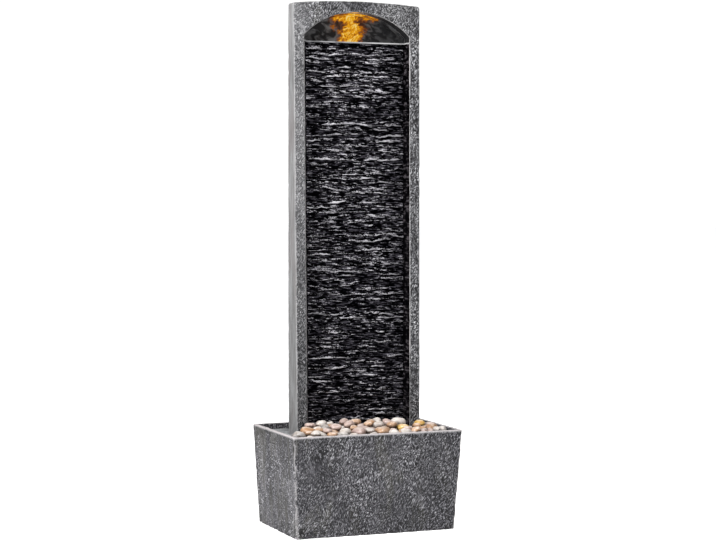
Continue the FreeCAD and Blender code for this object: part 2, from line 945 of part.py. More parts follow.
def led_housing():
    y = lamp_y()
    half = lamp_width / 2
    deep = lamp_depth / 2
    top = lamp_bottom + lamp_height
    cup = box(-half, half, y - deep, y + deep, lamp_bottom, top)
    rim_half = lamp_pad_width / 2
    rim = box(-rim_half, rim_half, y - deep, y + deep, lamp_pad_top, lamp_pad_top + lamp_flange)
    room = box(-half + lamp_wall, half - lamp_wall, y - deep + lamp_wall, y + deep - lamp_wall,
               lamp_bottom - overcut, top - lamp_wall)
    gland = along_y(lamp_gland_radius, y + deep - weld, y + deep + lamp_gland_length, 0.0,
                    top - lamp_gland_drop)
    wire_hole = along_y(lamp_gland_radius / 2, y, y + 2 * lamp_depth, 0.0, top - lamp_gland_drop)
    shape = fuse(cup, rim, gland).cut([room, wire_hole])
    for side in (-1, 1):
        x = side * (lamp_width + lamp_pad_width) / 4
        shape = shape.cut(along_z(lamp_screw_radius + bore_gap, 0.0, total_height, x, y))
    return shape


def led_lens():
    y = lamp_y()
    half = lamp_width / 2 - lamp_wall - bore_gap
    deep = lamp_depth / 2 - lamp_wall - bore_gap
    lens = box(-half, half, y - deep, y + deep, lamp_bottom, lamp_bottom + lamp_lens)
    grooves = []
    for rib in range(lens_ribs):
        x = (rib - (lens_ribs - 1) / 2) * lens_rib_pitch
        grooves.append(box(x - lens_rib_width / 2, x + lens_rib_width / 2, y - deep, y + deep,
                           lamp_bottom - overcut, lamp_bottom + lens_rib_depth))
    return lens.cut(grooves)


def led_board():
    y = lamp_y()
    half = lamp_width / 2 - lamp_wall - bore_gap
    deep = lamp_depth / 2 - lamp_wall - bore_gap
    board = box(-half, half, y - deep, y + deep, lamp_board_z, lamp_board_z + lamp_board)
    spread = 2 * (half - lamp_led_inset)
    lamps = []
    for lamp in range(lamp_led_count):
        x = -spread / 2 + spread * lamp / (lamp_led_count - 1)
        lamps.append(along_z(lamp_led_radius, lamp_board_z - lamp_led_height,
                             lamp_board_z + weld, x, y))
    return fuse(board, *lamps)


def led_screws():
    screws = []
    for side in (-1, 1):
        x = side * (lamp_width + lamp_pad_width) / 4
        screws.append(screw_down(lamp_screw_radius - slip_gap, lamp_screw_length,
                                 lamp_screw_head_radius, lamp_screw_head, x, lamp_y(),
                                 lamp_pad_top + lamp_flange))
    return Part.makeCompound(screws)


# Rear cover: a flat plate with a deep tub for the hose and the trough

def cover_tub(inset):
    half = lambda z: cover_half() - inset
    bottom = wall_bottom_z - inset
    block = arched_block(upright, 0.0, cover_back - inset, half, bottom,
                         cover_spring_z, cover_crown_z - inset)
    radius = cover_edge_radius - inset
    soft = []
    for edge in block.Edges:
        rear = all(abs(v.Y - cover_back + inset) < 0.01 for v in edge.Vertexes)
        if rear and max(v.Z for v in edge.Vertexes) > bottom + overcut:
            soft.append(edge)
    return block.makeFillet(radius, soft)


def rear_cover():
    plate_half = lambda z: half_width(z) - tower_wall - skin_gap
    shoulder = total_height - crown_rise - tower_wall - skin_gap
    crown = total_height - tower_wall - skin_gap
    plate = arched_block(on_back, cover_plate, cover_plate, plate_half, wall_bottom_z,
                         shoulder, crown)
    keep = arched_block(on_back, cover_plate, through, lambda z: basin_width, 0.0,
                        total_height, total_height + overcut)
    tub = cover_tub(0.0).common(keep)
    shape = fuse(plate, tub).cut(cover_tub(cover_wall))
    for x, z in cover_screw_places():
        shape = shape.cut(along_y(cover_screw_radius + screw_gap, 0.0, through, x, z))
    return shape


def rear_cover_screws():
    screws = []
    for x, z in cover_screw_places():
        seat = back_y(z) + back_lean() * cover_screw_head_radius
        screws.append(screw_from_back(cover_screw_radius - bore_gap, cover_screw_length,
                                      cover_screw_head_radius, cover_screw_head, x, seat, z))
    return Part.makeCompound(screws)


# Deck: a slotted tray in front of and beside the tower, and a lid behind it

def deck_outline():
    return basin_outline(ledge_z, basin_wall + deck_gap)


def deck_split_y():
    return back_y(ledge_z) + deck_split_gap


def tongue_back():
    crest = reveal_depth - slate_back_depth - ripple_depth - 1.5 * ripple_depth_swing
    return front_y(ledge_z) + crest - tongue_gap


def tongue_half():
    return cheek_inner(ledge_z) - tongue_gap


def stile_clear():
    return half_width(deck_top_z + deck_lift) + sliding_gap


def pebble_tray():
    x0, x1, y0, y1 = deck_outline()
    front_edge = front_y(ledge_z) - sliding_gap
    outline = (x0, x1, y0, deck_split_y())
    plate = tapered_block(outline, outline, ledge_z, deck_top_z, deck_corner_radius)
    gap = box(-stile_clear(), stile_clear(), front_edge, through, 0.0, total_height)
    tongue = box(-tongue_half(), tongue_half(), front_edge - weld, tongue_back(),
                 ledge_z, deck_top_z)
    shape = fuse(plate.cut(gap), tongue)
    slots = []
    middle = (y0 + front_edge) / 2
    for row in range(slot_rows):
        y = middle + (row - (slot_rows - 1) / 2) * slot_pitch_y
        for column in range(slot_columns):
            x = (column - (slot_columns - 1) / 2) * slot_pitch_x
            slots.append(box(x - slot_width / 2, x + slot_width / 2, y - slot_length / 2,
                             y + slot_length / 2, 0.0, total_height))
    shape = shape.cut(slots)
    for side in (-1, 1):
        leg = along_z(leg_radius, basin_floor, ledge_z + weld, side * leg_x, leg_y)
        shape = shape.fuse(leg)
    return shape.removeSplitter()


def service_lid():
    x0, x1, y0, y1 = deck_outline()
    outline = (x0, x1, deck_split_y() + deck_gap, y1)
    plate = tapered_block(outline, outline, ledge_z, deck_top_z, deck_corner_radius)
    notch_half = cover_half() + sliding_gap
    notch = box(-notch_half, notch_half, 0.0, cover_back + sliding_gap, 0.0, total_height)
    hole = along_z(finger_hole_radius, 0.0, total_height, 0.0, finger_hole_y)
    return plate.cut([notch, hole])


# Loose stones: each one is dropped where it comes to lie lowest

class Stone:
    def __init__(self, rng):
        self.long = rng.uniform(stone_long_min, stone_long_max)
        self.wide = self.long * rng.uniform(*stone_wide_share)
        self.thick = self.long * rng.uniform(*stone_thick_share)
        yaw = rng.uniform(0, 360)
        tilt = rng.uniform(-stone_tilt, stone_tilt)
        roll = rng.uniform(-stone_tilt, stone_tilt)
        self.turn = FreeCAD.Rotation(yaw, tilt, roll)
        phase = rng.uniform(0, 2 * math.pi)
        other = rng.uniform(0, 2 * math.pi)
        self.rings = []
        for level in stone_levels:
            reach = math.sqrt(1 - level * level)
            ring = []
            for side in range(stone_sides):
                angle = 2 * math.pi * side / stone_sides
                swing = 1 + stone_swing * (math.sin(2 * angle + phase) + math.sin(3 * angle + other))
                point = Vector(self.long * reach * swing * math.cos(angle),
                               self.wide * reach * swing * math.sin(angle),
                               self.thick * level)
                ring.append(self.turn.multVec(point))
            self.rings.append(ring)
        self.planes = self.find_planes()
        points = [point for ring in self.rings for point in ring]
        self.corners = points
        self.x_reach = max(abs(point.x) for point in points)
        self.y_reach = max(abs(point.y) for point in points)
        self.high = max(point.z for point in points)
        self.low = min(point.z for point in points)

    def find_planes(self):
        planes = []
        for lower, upper in zip(self.rings, self.rings[1:]):
            for side in range(stone_sides):
                here = lower[side]
                there = lower[(side + 1) % stone_sides]
                normal = (there - here).cross(upper[side] - here)
                planes.append((normal, here))
        axis = self.turn.multVec(Vector(0, 0, 1))
        planes.append((axis, self.rings[-1][0]))
        planes.append((axis * -1, self.rings[0][0]))
        return [(n.x, n.y, n.z, n.dot(p)) for n, p in planes if abs(n.z) > 1e-9]

    def span(self, x, y):
        low = self.low
        high = self.high
        for nx, ny, nz, offset in self.planes:
            height = (offset - nx * x - ny * y) / nz
            if nz > 0:
                high = min(high, height)
            else:
                low = max(low, height)
        return low, high

    def solid(self, x, y, z):
        move = Vector(x, y, z)
        faces = []
        for lower, upper in zip(self.rings, self.rings[1:]):
            for side in range(stone_sides):
                after = (side + 1) % stone_sides
                quad = [lower[side] + move, lower[after] + move, upper[after] + move,
                        upper[side] + move]
                faces.append(flat_face(quad))
        for ring in (self.rings[0][::-1], self.rings[-1]):
            faces.append(flat_face([point + move for point in ring]))
        return Part.makeSolid(Part.makeShell(faces))


def bed_has(x, y):
    x0, x1, y0, y1 = deck_outline()
    margin = skin_gap
    if not (x0 + margin < x < x1 - margin and y0 + margin < y < heap_arm_y):
        return False
    corner_x, corner_y = heap_left_corner
    if x < corner_x and y > corner_y + (x - corner_x) * heap_left_slope:
        return False
    if y < front_y(ledge_z) - sliding_gap:
        return True
    if abs(x) > stile_clear() + margin:
        return True
    return abs(x) < tongue_half() - margin and y < tongue_back() - margin


def heap_limit(x, y):
    front = deck_outline()[2]
    share = min(1.0, (y - front) / (front_y(ledge_z) - front))
    rise = heap_front_rise + (heap_wall_rise - heap_front_rise) * share ** heap_curve
    if abs(x) > stile_clear():
        rise = min(rise, heap_arm_rise)
    return deck_top_z + rise


def drop_stones():
    rng = random.Random(stone_seed)
    x0, x1, y0, y1 = deck_outline()
    heights = {}
    placed = []
    misses = 0
    while misses < heap_misses:
        stone = Stone(rng)
        best = None
        for attempt in range(heap_tries):
            x = rng.uniform(x0 + stone.x_reach, x1 - stone.x_reach)
            y = rng.uniform(y0 + stone.y_reach, heap_arm_y - stone.y_reach / 2)
            if not all(bed_has(x + p.x, y + p.y) for p in stone.corners):
                continue
            cells = []
            rest = deck_top_z - stone.low
            for i in range(int((x - stone.x_reach) // heap_cell),
                           int((x + stone.x_reach) // heap_cell) + 1):
                for j in range(int((y - stone.y_reach) // heap_cell),
                               int((y + stone.y_reach) // heap_cell) + 1):
                    low, high = stone.span(((i + 0.5) * heap_cell - x) / stone_swell,
                                           ((j + 0.5) * heap_cell - y) / stone_swell)
                    if high > low:
                        cells.append((i, j, high))
                        ground = heights.get((i, j), 0.0)
                        rest = max(rest, ground + stone_gap - low)
            if rest + stone.high > heap_limit(x, y):
                continue
            if best is None or rest + stone.high < best[0]:
                best = (rest + stone.high, x, y, rest, cells)
        if best is None:
            misses += 1
            continue
        misses = 0
        top, x, y, rest, cells = best
        for i, j, high in cells:
            heights[(i, j)] = max(heights.get((i, j), 0.0), rest + high)
        placed.append((x, y, top, stone.solid(x, y, rest)))
    return placed


def colour_stones(placed):
    rng = random.Random(stone_seed)
    colours = [rng.choices(stone_colours, stone_shares)[0] for _ in placed]
    for colour, x, y in chosen_stones:
        def depth(index):
            at_x, at_y, top, _ = placed[index]
            return math.hypot(at_x - x, at_y - y) - top
        colours[min(range(len(placed)), key=depth)] = colour
    return [(colour, solid) for colour, (_, _, _, solid) in zip(colours, placed)]


# Pump

def pump_left():
    return -pump_chamber_length / 2 - pump_body_width


def chamber_left():
    return -pump_chamber_length / 2


def chamber_right():
    return pump_chamber_length / 2


def rounded_box_x(x0, x1, depth, height, radius):
    shape = box(x0, x1, pump_shaft_y - depth / 2, pump_shaft_y + depth / 2,
                pump_base_z, pump_base_z + height)
    soft = []
    for edge in shape.Edges:
        first, last = edge.Vertexes[0], edge.Vertexes[-1]
        if abs(first.Y - last.Y) < 0.01 and abs(first.Z - last.Z) < 0.01:
            soft.append(edge)
    return shape.makeFillet(radius, soft)


def cup_places():
    places = []
    for x in (pump_left() + cup_inset_x, chamber_left() - cup_inset_x):
        for side in (-1, 1):
            places.append((x, pump_shaft_y + side * (pump_body_depth / 2 - cup_inset_y)))
    return places


def pump_body():
    motor = rounded_box_x(pump_left(), chamber_left(), pump_body_depth, pump_body_height,
                          pump_edge_radius)
    ring = pump_chamber_radius + pump_chamber_wall
    volute = along_x(ring, chamber_left() - weld, chamber_right(), pump_shaft_y, pump_shaft_z)
    spout = along_z(pump_outlet_boss_radius, pump_shaft_z, pump_outlet_top, 0.0, hose_y)
    gland = along_x(pump_gland_radius, pump_left() - pump_gland_length, pump_left() + weld,
                    pump_shaft_y, pump_shaft_z)
    shape = fuse(motor, volute, spout, gland)
    cuts = [
        along_x(pump_chamber_radius, chamber_left(), chamber_right() + overcut, pump_shaft_y,
                pump_shaft_z),
        along_x(rotor_bore_radius, chamber_left() - rotor_bore_length, chamber_left() + overcut,
                pump_shaft_y, pump_shaft_z),
        along_x(bush_radius + bore_gap, chamber_left() - rotor_bore_length - bush_length,
                chamber_left(), pump_shaft_y, pump_shaft_z),
        along_z(pump_outlet_radius, pump_shaft_z, pump_outlet_top + overcut, 0.0, hose_y),
        along_x(pump_gland_bore, pump_left() - pump_gland_length - overcut,
                pump_left() + bush_length, pump_shaft_y, pump_shaft_z),
    ]
    for x, y in cup_places():
        cuts.append(along_z(cup_stem_radius + bore_gap, pump_base_z - overcut,
                            pump_base_z + cup_stem_length, x, y))
    return shape.cut(cuts)


def suction_cup(x, y):
    stem = along_z(cup_stem_radius, pump_base_z - weld, pump_base_z + cup_stem_length - weld, x, y)
    neck = along_z(cup_neck_radius, basin_floor + cup_rim, pump_base_z, x, y)
    rim = along_z(cup_radius, basin_floor, basin_floor + cup_rim, x, y)
    hollow = along_z(cup_radius - cup_rim / 2, basin_floor - overcut, basin_floor + cup_rim / 2,
                     x, y)
    return fuse(stem, neck, rim).cut(hollow)


def suction_cups():
    return Part.makeCompound([suction_cup(x, y) for x, y in cup_places()])


def pump_nozzle():
    top = pump_outlet_top
    hexagonal = hexagon(nozzle_hex_radius, top, top + nozzle_hex_height, 0.0, hose_y)
    spigot = along_z(pump_outlet_radius - bore_gap, top - nozzle_spigot, top + weld, 0.0, hose_y)
    tail = barb(0.0, hose_y, top + nozzle_hex_height, barb_length, 1)
    bore = along_z(nozzle_bore_radius, 0.0, total_height, 0.0, hose_y)
    return fuse(hexagonal, spigot, tail).cut(bore)


def rotor_axis_rod(radius, x0, x1):
    return along_x(radius, x0, x1, pump_shaft_y, pump_shaft_z)


def disc_left():
    return chamber_left() + impeller_end_gap


def impeller_blade(index):
    inner = impeller_hub_radius - weld
    outer = impeller_radius - blade_tip_inset
    start = disc_left() + impeller_disc - weld
    points = []
    for radius, sweep in zip((inner, (inner + outer) / 2, outer), blade_sweep):
        angle = math.radians(360.0 / impeller_blades * index + sweep)
        points.append(Vector(start, pump_shaft_y + radius * math.cos(angle),
                             pump_shaft_z + radius * math.sin(angle)))
    line = Part.Arc(*points).toShape()
    half = impeller_blade_thickness / 2
    centre = line.Curve.Center
    radius = line.Curve.Radius
    ends = []
    for grow in (-half, half):
        scaled = [centre + (point - centre) * ((radius + grow) / radius) for point in points]
        ends.append(scaled)
    near, far = ends
    edges = [
        Part.Arc(*near).toShape(),
        Part.LineSegment(near[-1], far[-1]).toShape(),
        Part.Arc(*reversed(far)).toShape(),
        Part.LineSegment(far[0], near[0]).toShape(),
    ]
    face = Part.Face(Part.Wire(edges))
    return face.extrude(Vector(impeller_blade_height, 0, 0))


def impeller():
    disc = rotor_axis_rod(impeller_radius, disc_left(), disc_left() + impeller_disc)
    hub = rotor_axis_rod(impeller_hub_radius, disc_left(),
                         disc_left() + impeller_disc + impeller_blade_height)
    core = rotor_axis_rod(impeller_core_radius, disc_left() - magnet_length - impeller_end_gap,
                          disc_left() + weld)
    blades = [impeller_blade(index) for index in range(impeller_blades)]
    shape = fuse(disc, hub, core, *blades)
    return shape.cut(rotor_axis_rod(shaft_radius + slip_gap, -through, through))


def rotor_magnet():
    start = disc_left() - magnet_length
    ring = rotor_axis_rod(magnet_radius, start, start + magnet_length)
    return ring.cut(rotor_axis_rod(impeller_core_radius + slip_gap, -through, through))


def shaft_left():
    return chamber_left() - rotor_bore_length - bush_length + shaft_end_gap


def shaft_right():
    return chamber_right() + bush_length


def impeller_shaft():
    return rotor_axis_rod(shaft_radius, shaft_left(), shaft_right())


def shaft_bushes():
    rear_x = chamber_left() - rotor_bore_length - bush_length
    rear = rotor_axis_rod(bush_radius, rear_x, rear_x + bush_length)
    front = rotor_axis_rod(bush_radius, chamber_right(), chamber_right() + bush_length)
    hole = rotor_axis_rod(shaft_radius + slip_gap, shaft_left() - bore_gap, through)
    return Part.makeCompound([rear.cut(hole), front.cut(hole)])


def dial_window_places():
    places = []
    for window in range(dial_windows):
        angle = math.radians(360.0 / dial_windows * window + 90)
        places.append((pump_shaft_y + dial_window_circle * math.cos(angle),
                       pump_shaft_z + dial_window_circle * math.sin(angle)))
    return places


def pump_cover():
    x0 = chamber_right()
    x1 = x0 + pump_cover_length
    depth = pump_body_depth
    height = pump_body_height
    shell = rounded_box_x(x0, x1, depth, height, pump_edge_radius)
    lid = pump_cover_wall
    room = box(x0 + lid, x1 - lid, pump_shaft_y - depth / 2 + lid, pump_shaft_y + depth / 2 - lid,
               pump_base_z + lid, pump_base_z + height - lid)
    eye = rotor_axis_rod(pump_eye_radius, x0 - overcut, x0 + lid + overcut)
    holder = rotor_axis_rod(bush_radius + bush_holder_wall, x0, x0 + bush_length)
    arm = pump_eye_radius + weld
    half = spoke_width / 2
    spokes = [
        box(x0, x0 + lid, pump_shaft_y - arm, pump_shaft_y + arm, pump_shaft_z - half,
            pump_shaft_z + half),
        box(x0, x0 + lid, pump_shaft_y - half, pump_shaft_y + half, pump_shaft_z - arm,
            pump_shaft_z + arm),
    ]
    shape = shell.cut([room, eye]).fuse([holder] + spokes)
    shape = shape.cut(rotor_axis_rod(bush_radius + bore_gap, x0 - overcut, x0 + bush_length))
    middle = pump_base_z + height / 2
    for slot in range(pump_cover_slots):
        offset = (slot - (pump_cover_slots - 1) / 2) * 2 * pump_cover_slot
        shape = shape.cut(box(x0 + 2 * lid, x1 - 2 * lid, 0.0, through,
                              middle + offset - pump_cover_slot / 2,
                              middle + offset + pump_cover_slot / 2))
    for y, z in dial_window_places():
        shape = shape.cut(along_x(dial_window_radius, x1 - lid - overcut, x1 + overcut, y, z))
    cap_x = x1 + 2 * skin_gap + dial_thickness
    pin = rotor_axis_rod(dial_pin_radius, x1 - lid, cap_x + weld)
    cap = rotor_axis_rod(dial_cap_radius, cap_x, cap_x + dial_cap)
    return shape.fuse([pin, cap]).removeSplitter()


def flow_regulator():
    x0 = chamber_right() + pump_cover_length + skin_gap
    disc = rotor_axis_rod(dial_radius, x0, x0 + dial_thickness)
    tab = box(x0, x0 + dial_thickness, pump_shaft_y - dial_tab_width / 2,
              pump_shaft_y + dial_tab_width / 2, pump_shaft_z + dial_radius - dial_tab_width / 2,
              pump_shaft_z + dial_radius + dial_tab)
    shape = disc.fuse(tab)
    cuts = [rotor_axis_rod(dial_pin_radius + dial_pin_gap, -through, through)]
    for y, z in dial_window_places():
        cuts.append(along_x(dial_window_radius, x0 - overcut, x0 + dial_thickness + overcut, y, z))
    return shape.cut(cuts)


# Every piece, written as its own file

pieces = {
    "basin": basin(),
    "drain_plug": drain_plug(),
    "cable_grommet": cable_grommet(),
    "tower_shell": tower_shell(),
    "tower_screws": tower_screws(),
    "wall_carrier": bored_carrier(),
    "slate_face": slate_face(),
    "weir_lip": weir_lip(),
    "weir_trough": weir_trough(),
    "trough_screws": trough_screws(),
    "trough_fitting": trough_fitting(),
    "fitting_nut": fitting_nut(),
    "riser_hose": riser_hose(),
    "hose_clamps": hose_clamps(),
    "hose_saddles": hose_saddles(),
    "alcove_liner": alcove_liner(),
    "led_housing": led_housing(),
    "led_lens": led_lens(),
    "led_board": led_board(),
    "led_screws": led_screws(),
    "rear_cover": rear_cover(),
    "rear_cover_screws": rear_cover_screws(),
    "pebble_tray": pebble_tray(),
    "service_lid": service_lid(),
    "pump_body": pump_body(),
    "suction_cups": suction_cups(),
    "pump_nozzle": pump_nozzle(),
    "pump_cover": pump_cover(),
    "flow_regulator": flow_regulator(),
    "impeller": impeller(),
    "rotor_magnet": rotor_magnet(),
    "impeller_shaft": impeller_shaft(),
    "shaft_bushes": shaft_bushes(),
}

stones = colour_stones(drop_stones())
for colour_name in stone_colours:
    group = [solid for colour, solid in stones if colour == colour_name]
    pieces["pebbles_" + colour_name] = Part.makeCompound(group)

for node_name, piece in pieces.items():
    save(piece, node_name)
print(len(pieces), "pieces,", len(stones), "stones")
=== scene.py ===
import math
import random

import bmesh
import bpy
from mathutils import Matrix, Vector, noise


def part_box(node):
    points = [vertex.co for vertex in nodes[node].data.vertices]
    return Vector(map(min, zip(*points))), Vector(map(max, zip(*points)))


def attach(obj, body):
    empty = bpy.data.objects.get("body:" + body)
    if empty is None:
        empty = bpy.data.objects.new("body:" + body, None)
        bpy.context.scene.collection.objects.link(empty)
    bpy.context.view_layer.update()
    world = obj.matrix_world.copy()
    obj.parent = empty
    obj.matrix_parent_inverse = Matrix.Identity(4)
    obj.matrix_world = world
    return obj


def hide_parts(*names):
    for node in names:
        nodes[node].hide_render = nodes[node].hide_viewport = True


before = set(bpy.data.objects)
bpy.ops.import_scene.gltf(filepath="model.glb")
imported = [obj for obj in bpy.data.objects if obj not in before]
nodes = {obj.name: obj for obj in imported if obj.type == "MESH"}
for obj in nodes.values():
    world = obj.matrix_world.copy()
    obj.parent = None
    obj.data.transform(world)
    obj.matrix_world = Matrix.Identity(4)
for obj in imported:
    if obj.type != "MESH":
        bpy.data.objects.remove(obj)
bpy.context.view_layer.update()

# Lengths are in metres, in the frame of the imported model: X right, Y back, Z up.
# Pitches of patterns are counts per metre.

mm = 0.001

tower_low, tower_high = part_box("tower_shell")
slate_low, slate_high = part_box("slate_face")
lens_low, lens_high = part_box("led_lens")
rim_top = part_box("basin")[1].z
deck_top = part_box("pebble_tray")[1].z

# Castings
casting_depth = {"basin": 7, "tower_shell": 9}
casting_fill = 0.9
casting_soften_passes = 4
# How far an edge stands proud, in cells of the remesh, where its chips and its wear are full
edge_full = 0.55
edge_wear = 0.3
rim_band = 1.6 * mm
rim_wear = 1.3
lit_edge_highlight = 1.25
lit_edge_least_wear = 0.3
opening_half = 110.0 * mm
# Parts of a normal from which a face counts as turned that way
facing_up = 0.8
facing_sideways = 0.7
turned_a_little = 0.3

# Depths that the chisel takes off a casting
hollow_depth = 0.3 * mm
mark_depth = 1.1 * mm
pit_depth = 0.4 * mm
chip_depth = 1.0 * mm
foot_chip_depth = 6.0 * mm
foot_height = 12.0 * mm

# Water wall
slate_columns = 150
slate_rows = 640
slate_side_gap = 0.4 * mm
slate_course = 9.2 * mm
slate_fine_course = 5.1 * mm
slate_crest = 5.6 * mm
slate_ground = 1.2 * mm
slate_sag = 0.45
slate_fade = 60
slate_edge_reach = 6.0 * mm
# Height, pitch across, pitch upwards and seed of each bend in the courses
slate_bends = (
    (5.0 * mm, 0, 24, 16),
    (3.4 * mm, 18, 16, 11),
    (3.2 * mm, 34, 70, 17),
    (1.5 * mm, 110, 60, 12),
)
fine_bend = 2.0 * mm
ledge_nose = 0.14

# Stones
stone_swell = 1.12
ochre_swell = 0.92
stone_flats = 5
stone_flat_share = (0.66, 0.88)
stone_flat_cut = 0.8
stone_lump = 0.1
stone_smooth_levels = 1

# Bounds of the patches on the castings, along X or Z; nowhere lies outside the part
nowhere = (-1.0, -2.0)
basin_dark_band_z = (165.0 * mm, 215.0 * mm)
basin_flank_x = (-150.0 * mm, -162.0 * mm)
tower_dark_band_z = (620.0 * mm, 220.0 * mm)
tower_lit_left_x = (-70.0 * mm, -115.0 * mm)
calm_x = (160.0 * mm, 20.0 * mm)
shaded_right_x = (20.0 * mm, 130.0 * mm)
right_stile_x = (0.0, 80.0 * mm)
left_stile_x = (-30.0 * mm, -80.0 * mm)
head_z = (900.0 * mm, 960.0 * mm)
under_head_z = (960.0 * mm, 900.0 * mm)
crown_dark_x = 2.0 * mm
crown_dark_size = (75.0 * mm, 60.0 * mm, 26.0 * mm)
lit_soffit_z = 984.0 * mm
lit_soffit_size = (75.0 * mm, 200.0 * mm, 24.0 * mm)

# The lamp's light, painted on the alcove's wall as a glow
alcove_y = 39.0 * mm
gloom_deep = 100.0 * mm
# X and Z, half width and half height, and unrest of each dark patch in the light
gloom_spots = (
    ((29.0 * mm, 965.5 * mm), (19.0 * mm, 9.5 * mm), 1.0),
    ((-18.0 * mm, 957.0 * mm), (13.0 * mm, 10.0 * mm), 1.4),
    ((-25.0 * mm, 934.0 * mm), (7.0 * mm, 9.0 * mm), 1.0),
    ((-47.0 * mm, 968.0 * mm), (20.0 * mm, 14.0 * mm), 1.0),
)


# Small helpers

def link(piece):
    bpy.context.scene.collection.objects.link(piece)
    return piece


def finish_piece(bm, name, body, material, node):
    # A visible piece that rides on a body and stands in for one node of the CAD
    mesh = bpy.data.meshes.new(name)
    bm.to_mesh(mesh)
    bm.free()
    mesh.materials.append(material)
    for polygon in mesh.polygons:
        polygon.use_smooth = True
    piece = link(bpy.data.objects.new(name, mesh))
    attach(piece, body)
    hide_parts(node)
    return piece


def welded(node):
    bm = bmesh.new()
    bm.from_mesh(nodes[node].data)
    bmesh.ops.remove_doubles(bm, verts=bm.verts, dist=0.001 * mm)
    return bm


def rgb(red, green, blue):
    return (red, green, blue, 1.0)


def held(value):
    return min(1.0, max(0.0, value))


def wave(x, y, z, seed):
    # Smooth noise about 0, different for each seed
    return noise.noise(Vector((x, y, z)) + Vector((seed * 7.31, seed * 3.17, seed * 5.73)))


def wave_at(place, pitch, seed):
    return wave(*(place * pitch), seed)


# Node-tree helpers

class Tree:
    def __init__(self, tree):
        self.tree = tree

    def add(self, kind, inputs=None, **settings):
        node = self.tree.nodes.new(kind)
        for name, value in settings.items():
            setattr(node, name, value)
        for name, value in (inputs or {}).items():
            self.feed(node.inputs[name], value)
        return node

    def feed(self, socket, value):
        if isinstance(value, bpy.types.NodeSocket):
            self.tree.links.new(value, socket)
        else:
            socket.default_value = value

    def attribute(self, name):
        return self.add("ShaderNodeAttribute", attribute_name=name).outputs["Fac"]

    def axes(self, vector):
        return self.add("ShaderNodeSeparateXYZ", {"Vector": vector}).outputs

    def math(self, operation, first, second=0.0, clamp=False):
        node = self.add("ShaderNodeMath", {0: first, 1: second},
                        operation=operation, use_clamp=clamp)
        return node.outputs[0]

    def times(self, first, second):
        return self.math("MULTIPLY", first, second)

    def plus(self, first, second):
        return self.math("ADD", first, second)

    def minus(self, first, second):
        return self.math("SUBTRACT", first, second)

    def most(self, first, second):
        return self.math("MAXIMUM", first, second)

    def without(self, mask, share=1.0):
        # 1 where the mask is 0, and lower by the share where it is 1
        return self.minus(1.0, self.times(mask, share))

    def swing(self, pattern, size):
        # A pattern between 0 and 1, moved to swing about 0
        return self.times(self.minus(pattern, 0.5), size)

    def ramp(self, value, low, high):
        # 0 at low, 1 at high; low may be the larger of the two
        node = self.add("ShaderNodeMapRange",
                        {"Value": value, "From Min": low, "From Max": high},
                        interpolation_type="SMOOTHSTEP")
        return node.outputs["Result"]

    def line(self, pattern, level, wide, fine):
        # 1 along the line where the pattern crosses a level
        return self.ramp(self.math("ABSOLUTE", self.minus(pattern, level)), wide, fine)

    def blend(self, share, first, second, mode="MIX"):
        node = self.add("ShaderNodeMix", data_type="RGBA", blend_type=mode)
        self.feed(node.inputs["Factor"], share)
        self.feed(node.inputs[6], first)
        self.feed(node.inputs[7], second)
        return node.outputs[2]

    def tint(self, share, colour, factor):
        return self.blend(share, colour, factor, "MULTIPLY")

    def stretch(self, vector, lengths, turn=(0.0, 0.0, 0.0)):
        # Draws a pattern out along the axes of a frame that is turned by some degrees
        node = self.add("ShaderNodeMapping", {"Vector": vector}, vector_type="TEXTURE")
        node.inputs["Scale"].default_value = lengths
        node.inputs["Rotation"].default_value = [math.radians(angle) for angle in turn]
        return node.outputs["Vector"]

    def grain(self, vector, pitch, detail=2.0, distortion=0.0, roughness=0.5):
        node = self.add("ShaderNodeTexNoise",
                        {"Vector": vector, "Scale": pitch, "Detail": detail,
                         "Distortion": distortion, "Roughness": roughness})
        return node.outputs["Fac"]

    def bump(self, height, depth, strength=1.0):
        node = self.add("ShaderNodeBump",
                        {"Height": height, "Distance": depth, "Strength": strength})
        return node.outputs["Normal"]

    def use(self, group, **inputs):
        node = self.add("ShaderNodeGroup", node_tree=group)
        for label, value in inputs.items():
            self.feed(node.inputs[label.title()], value)
        return node.outputs


def shader_group(name, inputs, masks):
    # A group whose outputs are all plain values
    group = bpy.data.node_groups.new(name, "ShaderNodeTree")
    for label, kind in inputs:
        group.interface.new_socket(label, in_out="INPUT", socket_type=kind)
    for label in masks:
        group.interface.new_socket(label, in_out="OUTPUT", socket_type="NodeSocketFloat")
    tree = Tree(group)
    entry = tree.add("NodeGroupInput").outputs
    leave = tree.add("NodeGroupOutput").inputs
    return group, tree, entry, leave


def start_material(name):
    material = bpy.data.materials.new(name)
    material.use_nodes = True
    tree = Tree(material.node_tree)
    material.node_tree.nodes.clear()
    surface = tree.add("ShaderNodeBsdfPrincipled")
    output = tree.add("ShaderNodeOutputMaterial")
    tree.tree.links.new(surface.outputs[0], output.inputs["Surface"])
    return material, tree, surface


def start_finish(name):
    material, tree, surface = start_material(name)
    where = tree.add("ShaderNodeTexCoord").outputs["Object"]
    return material, tree, surface, where


def coat(tree, surface, colour, roughness, normal):
    tree.feed(surface.inputs["Base Color"], colour)
    tree.feed(surface.inputs["Roughness"], roughness)
    tree.feed(surface.inputs["Normal"], normal)


# Shared effects

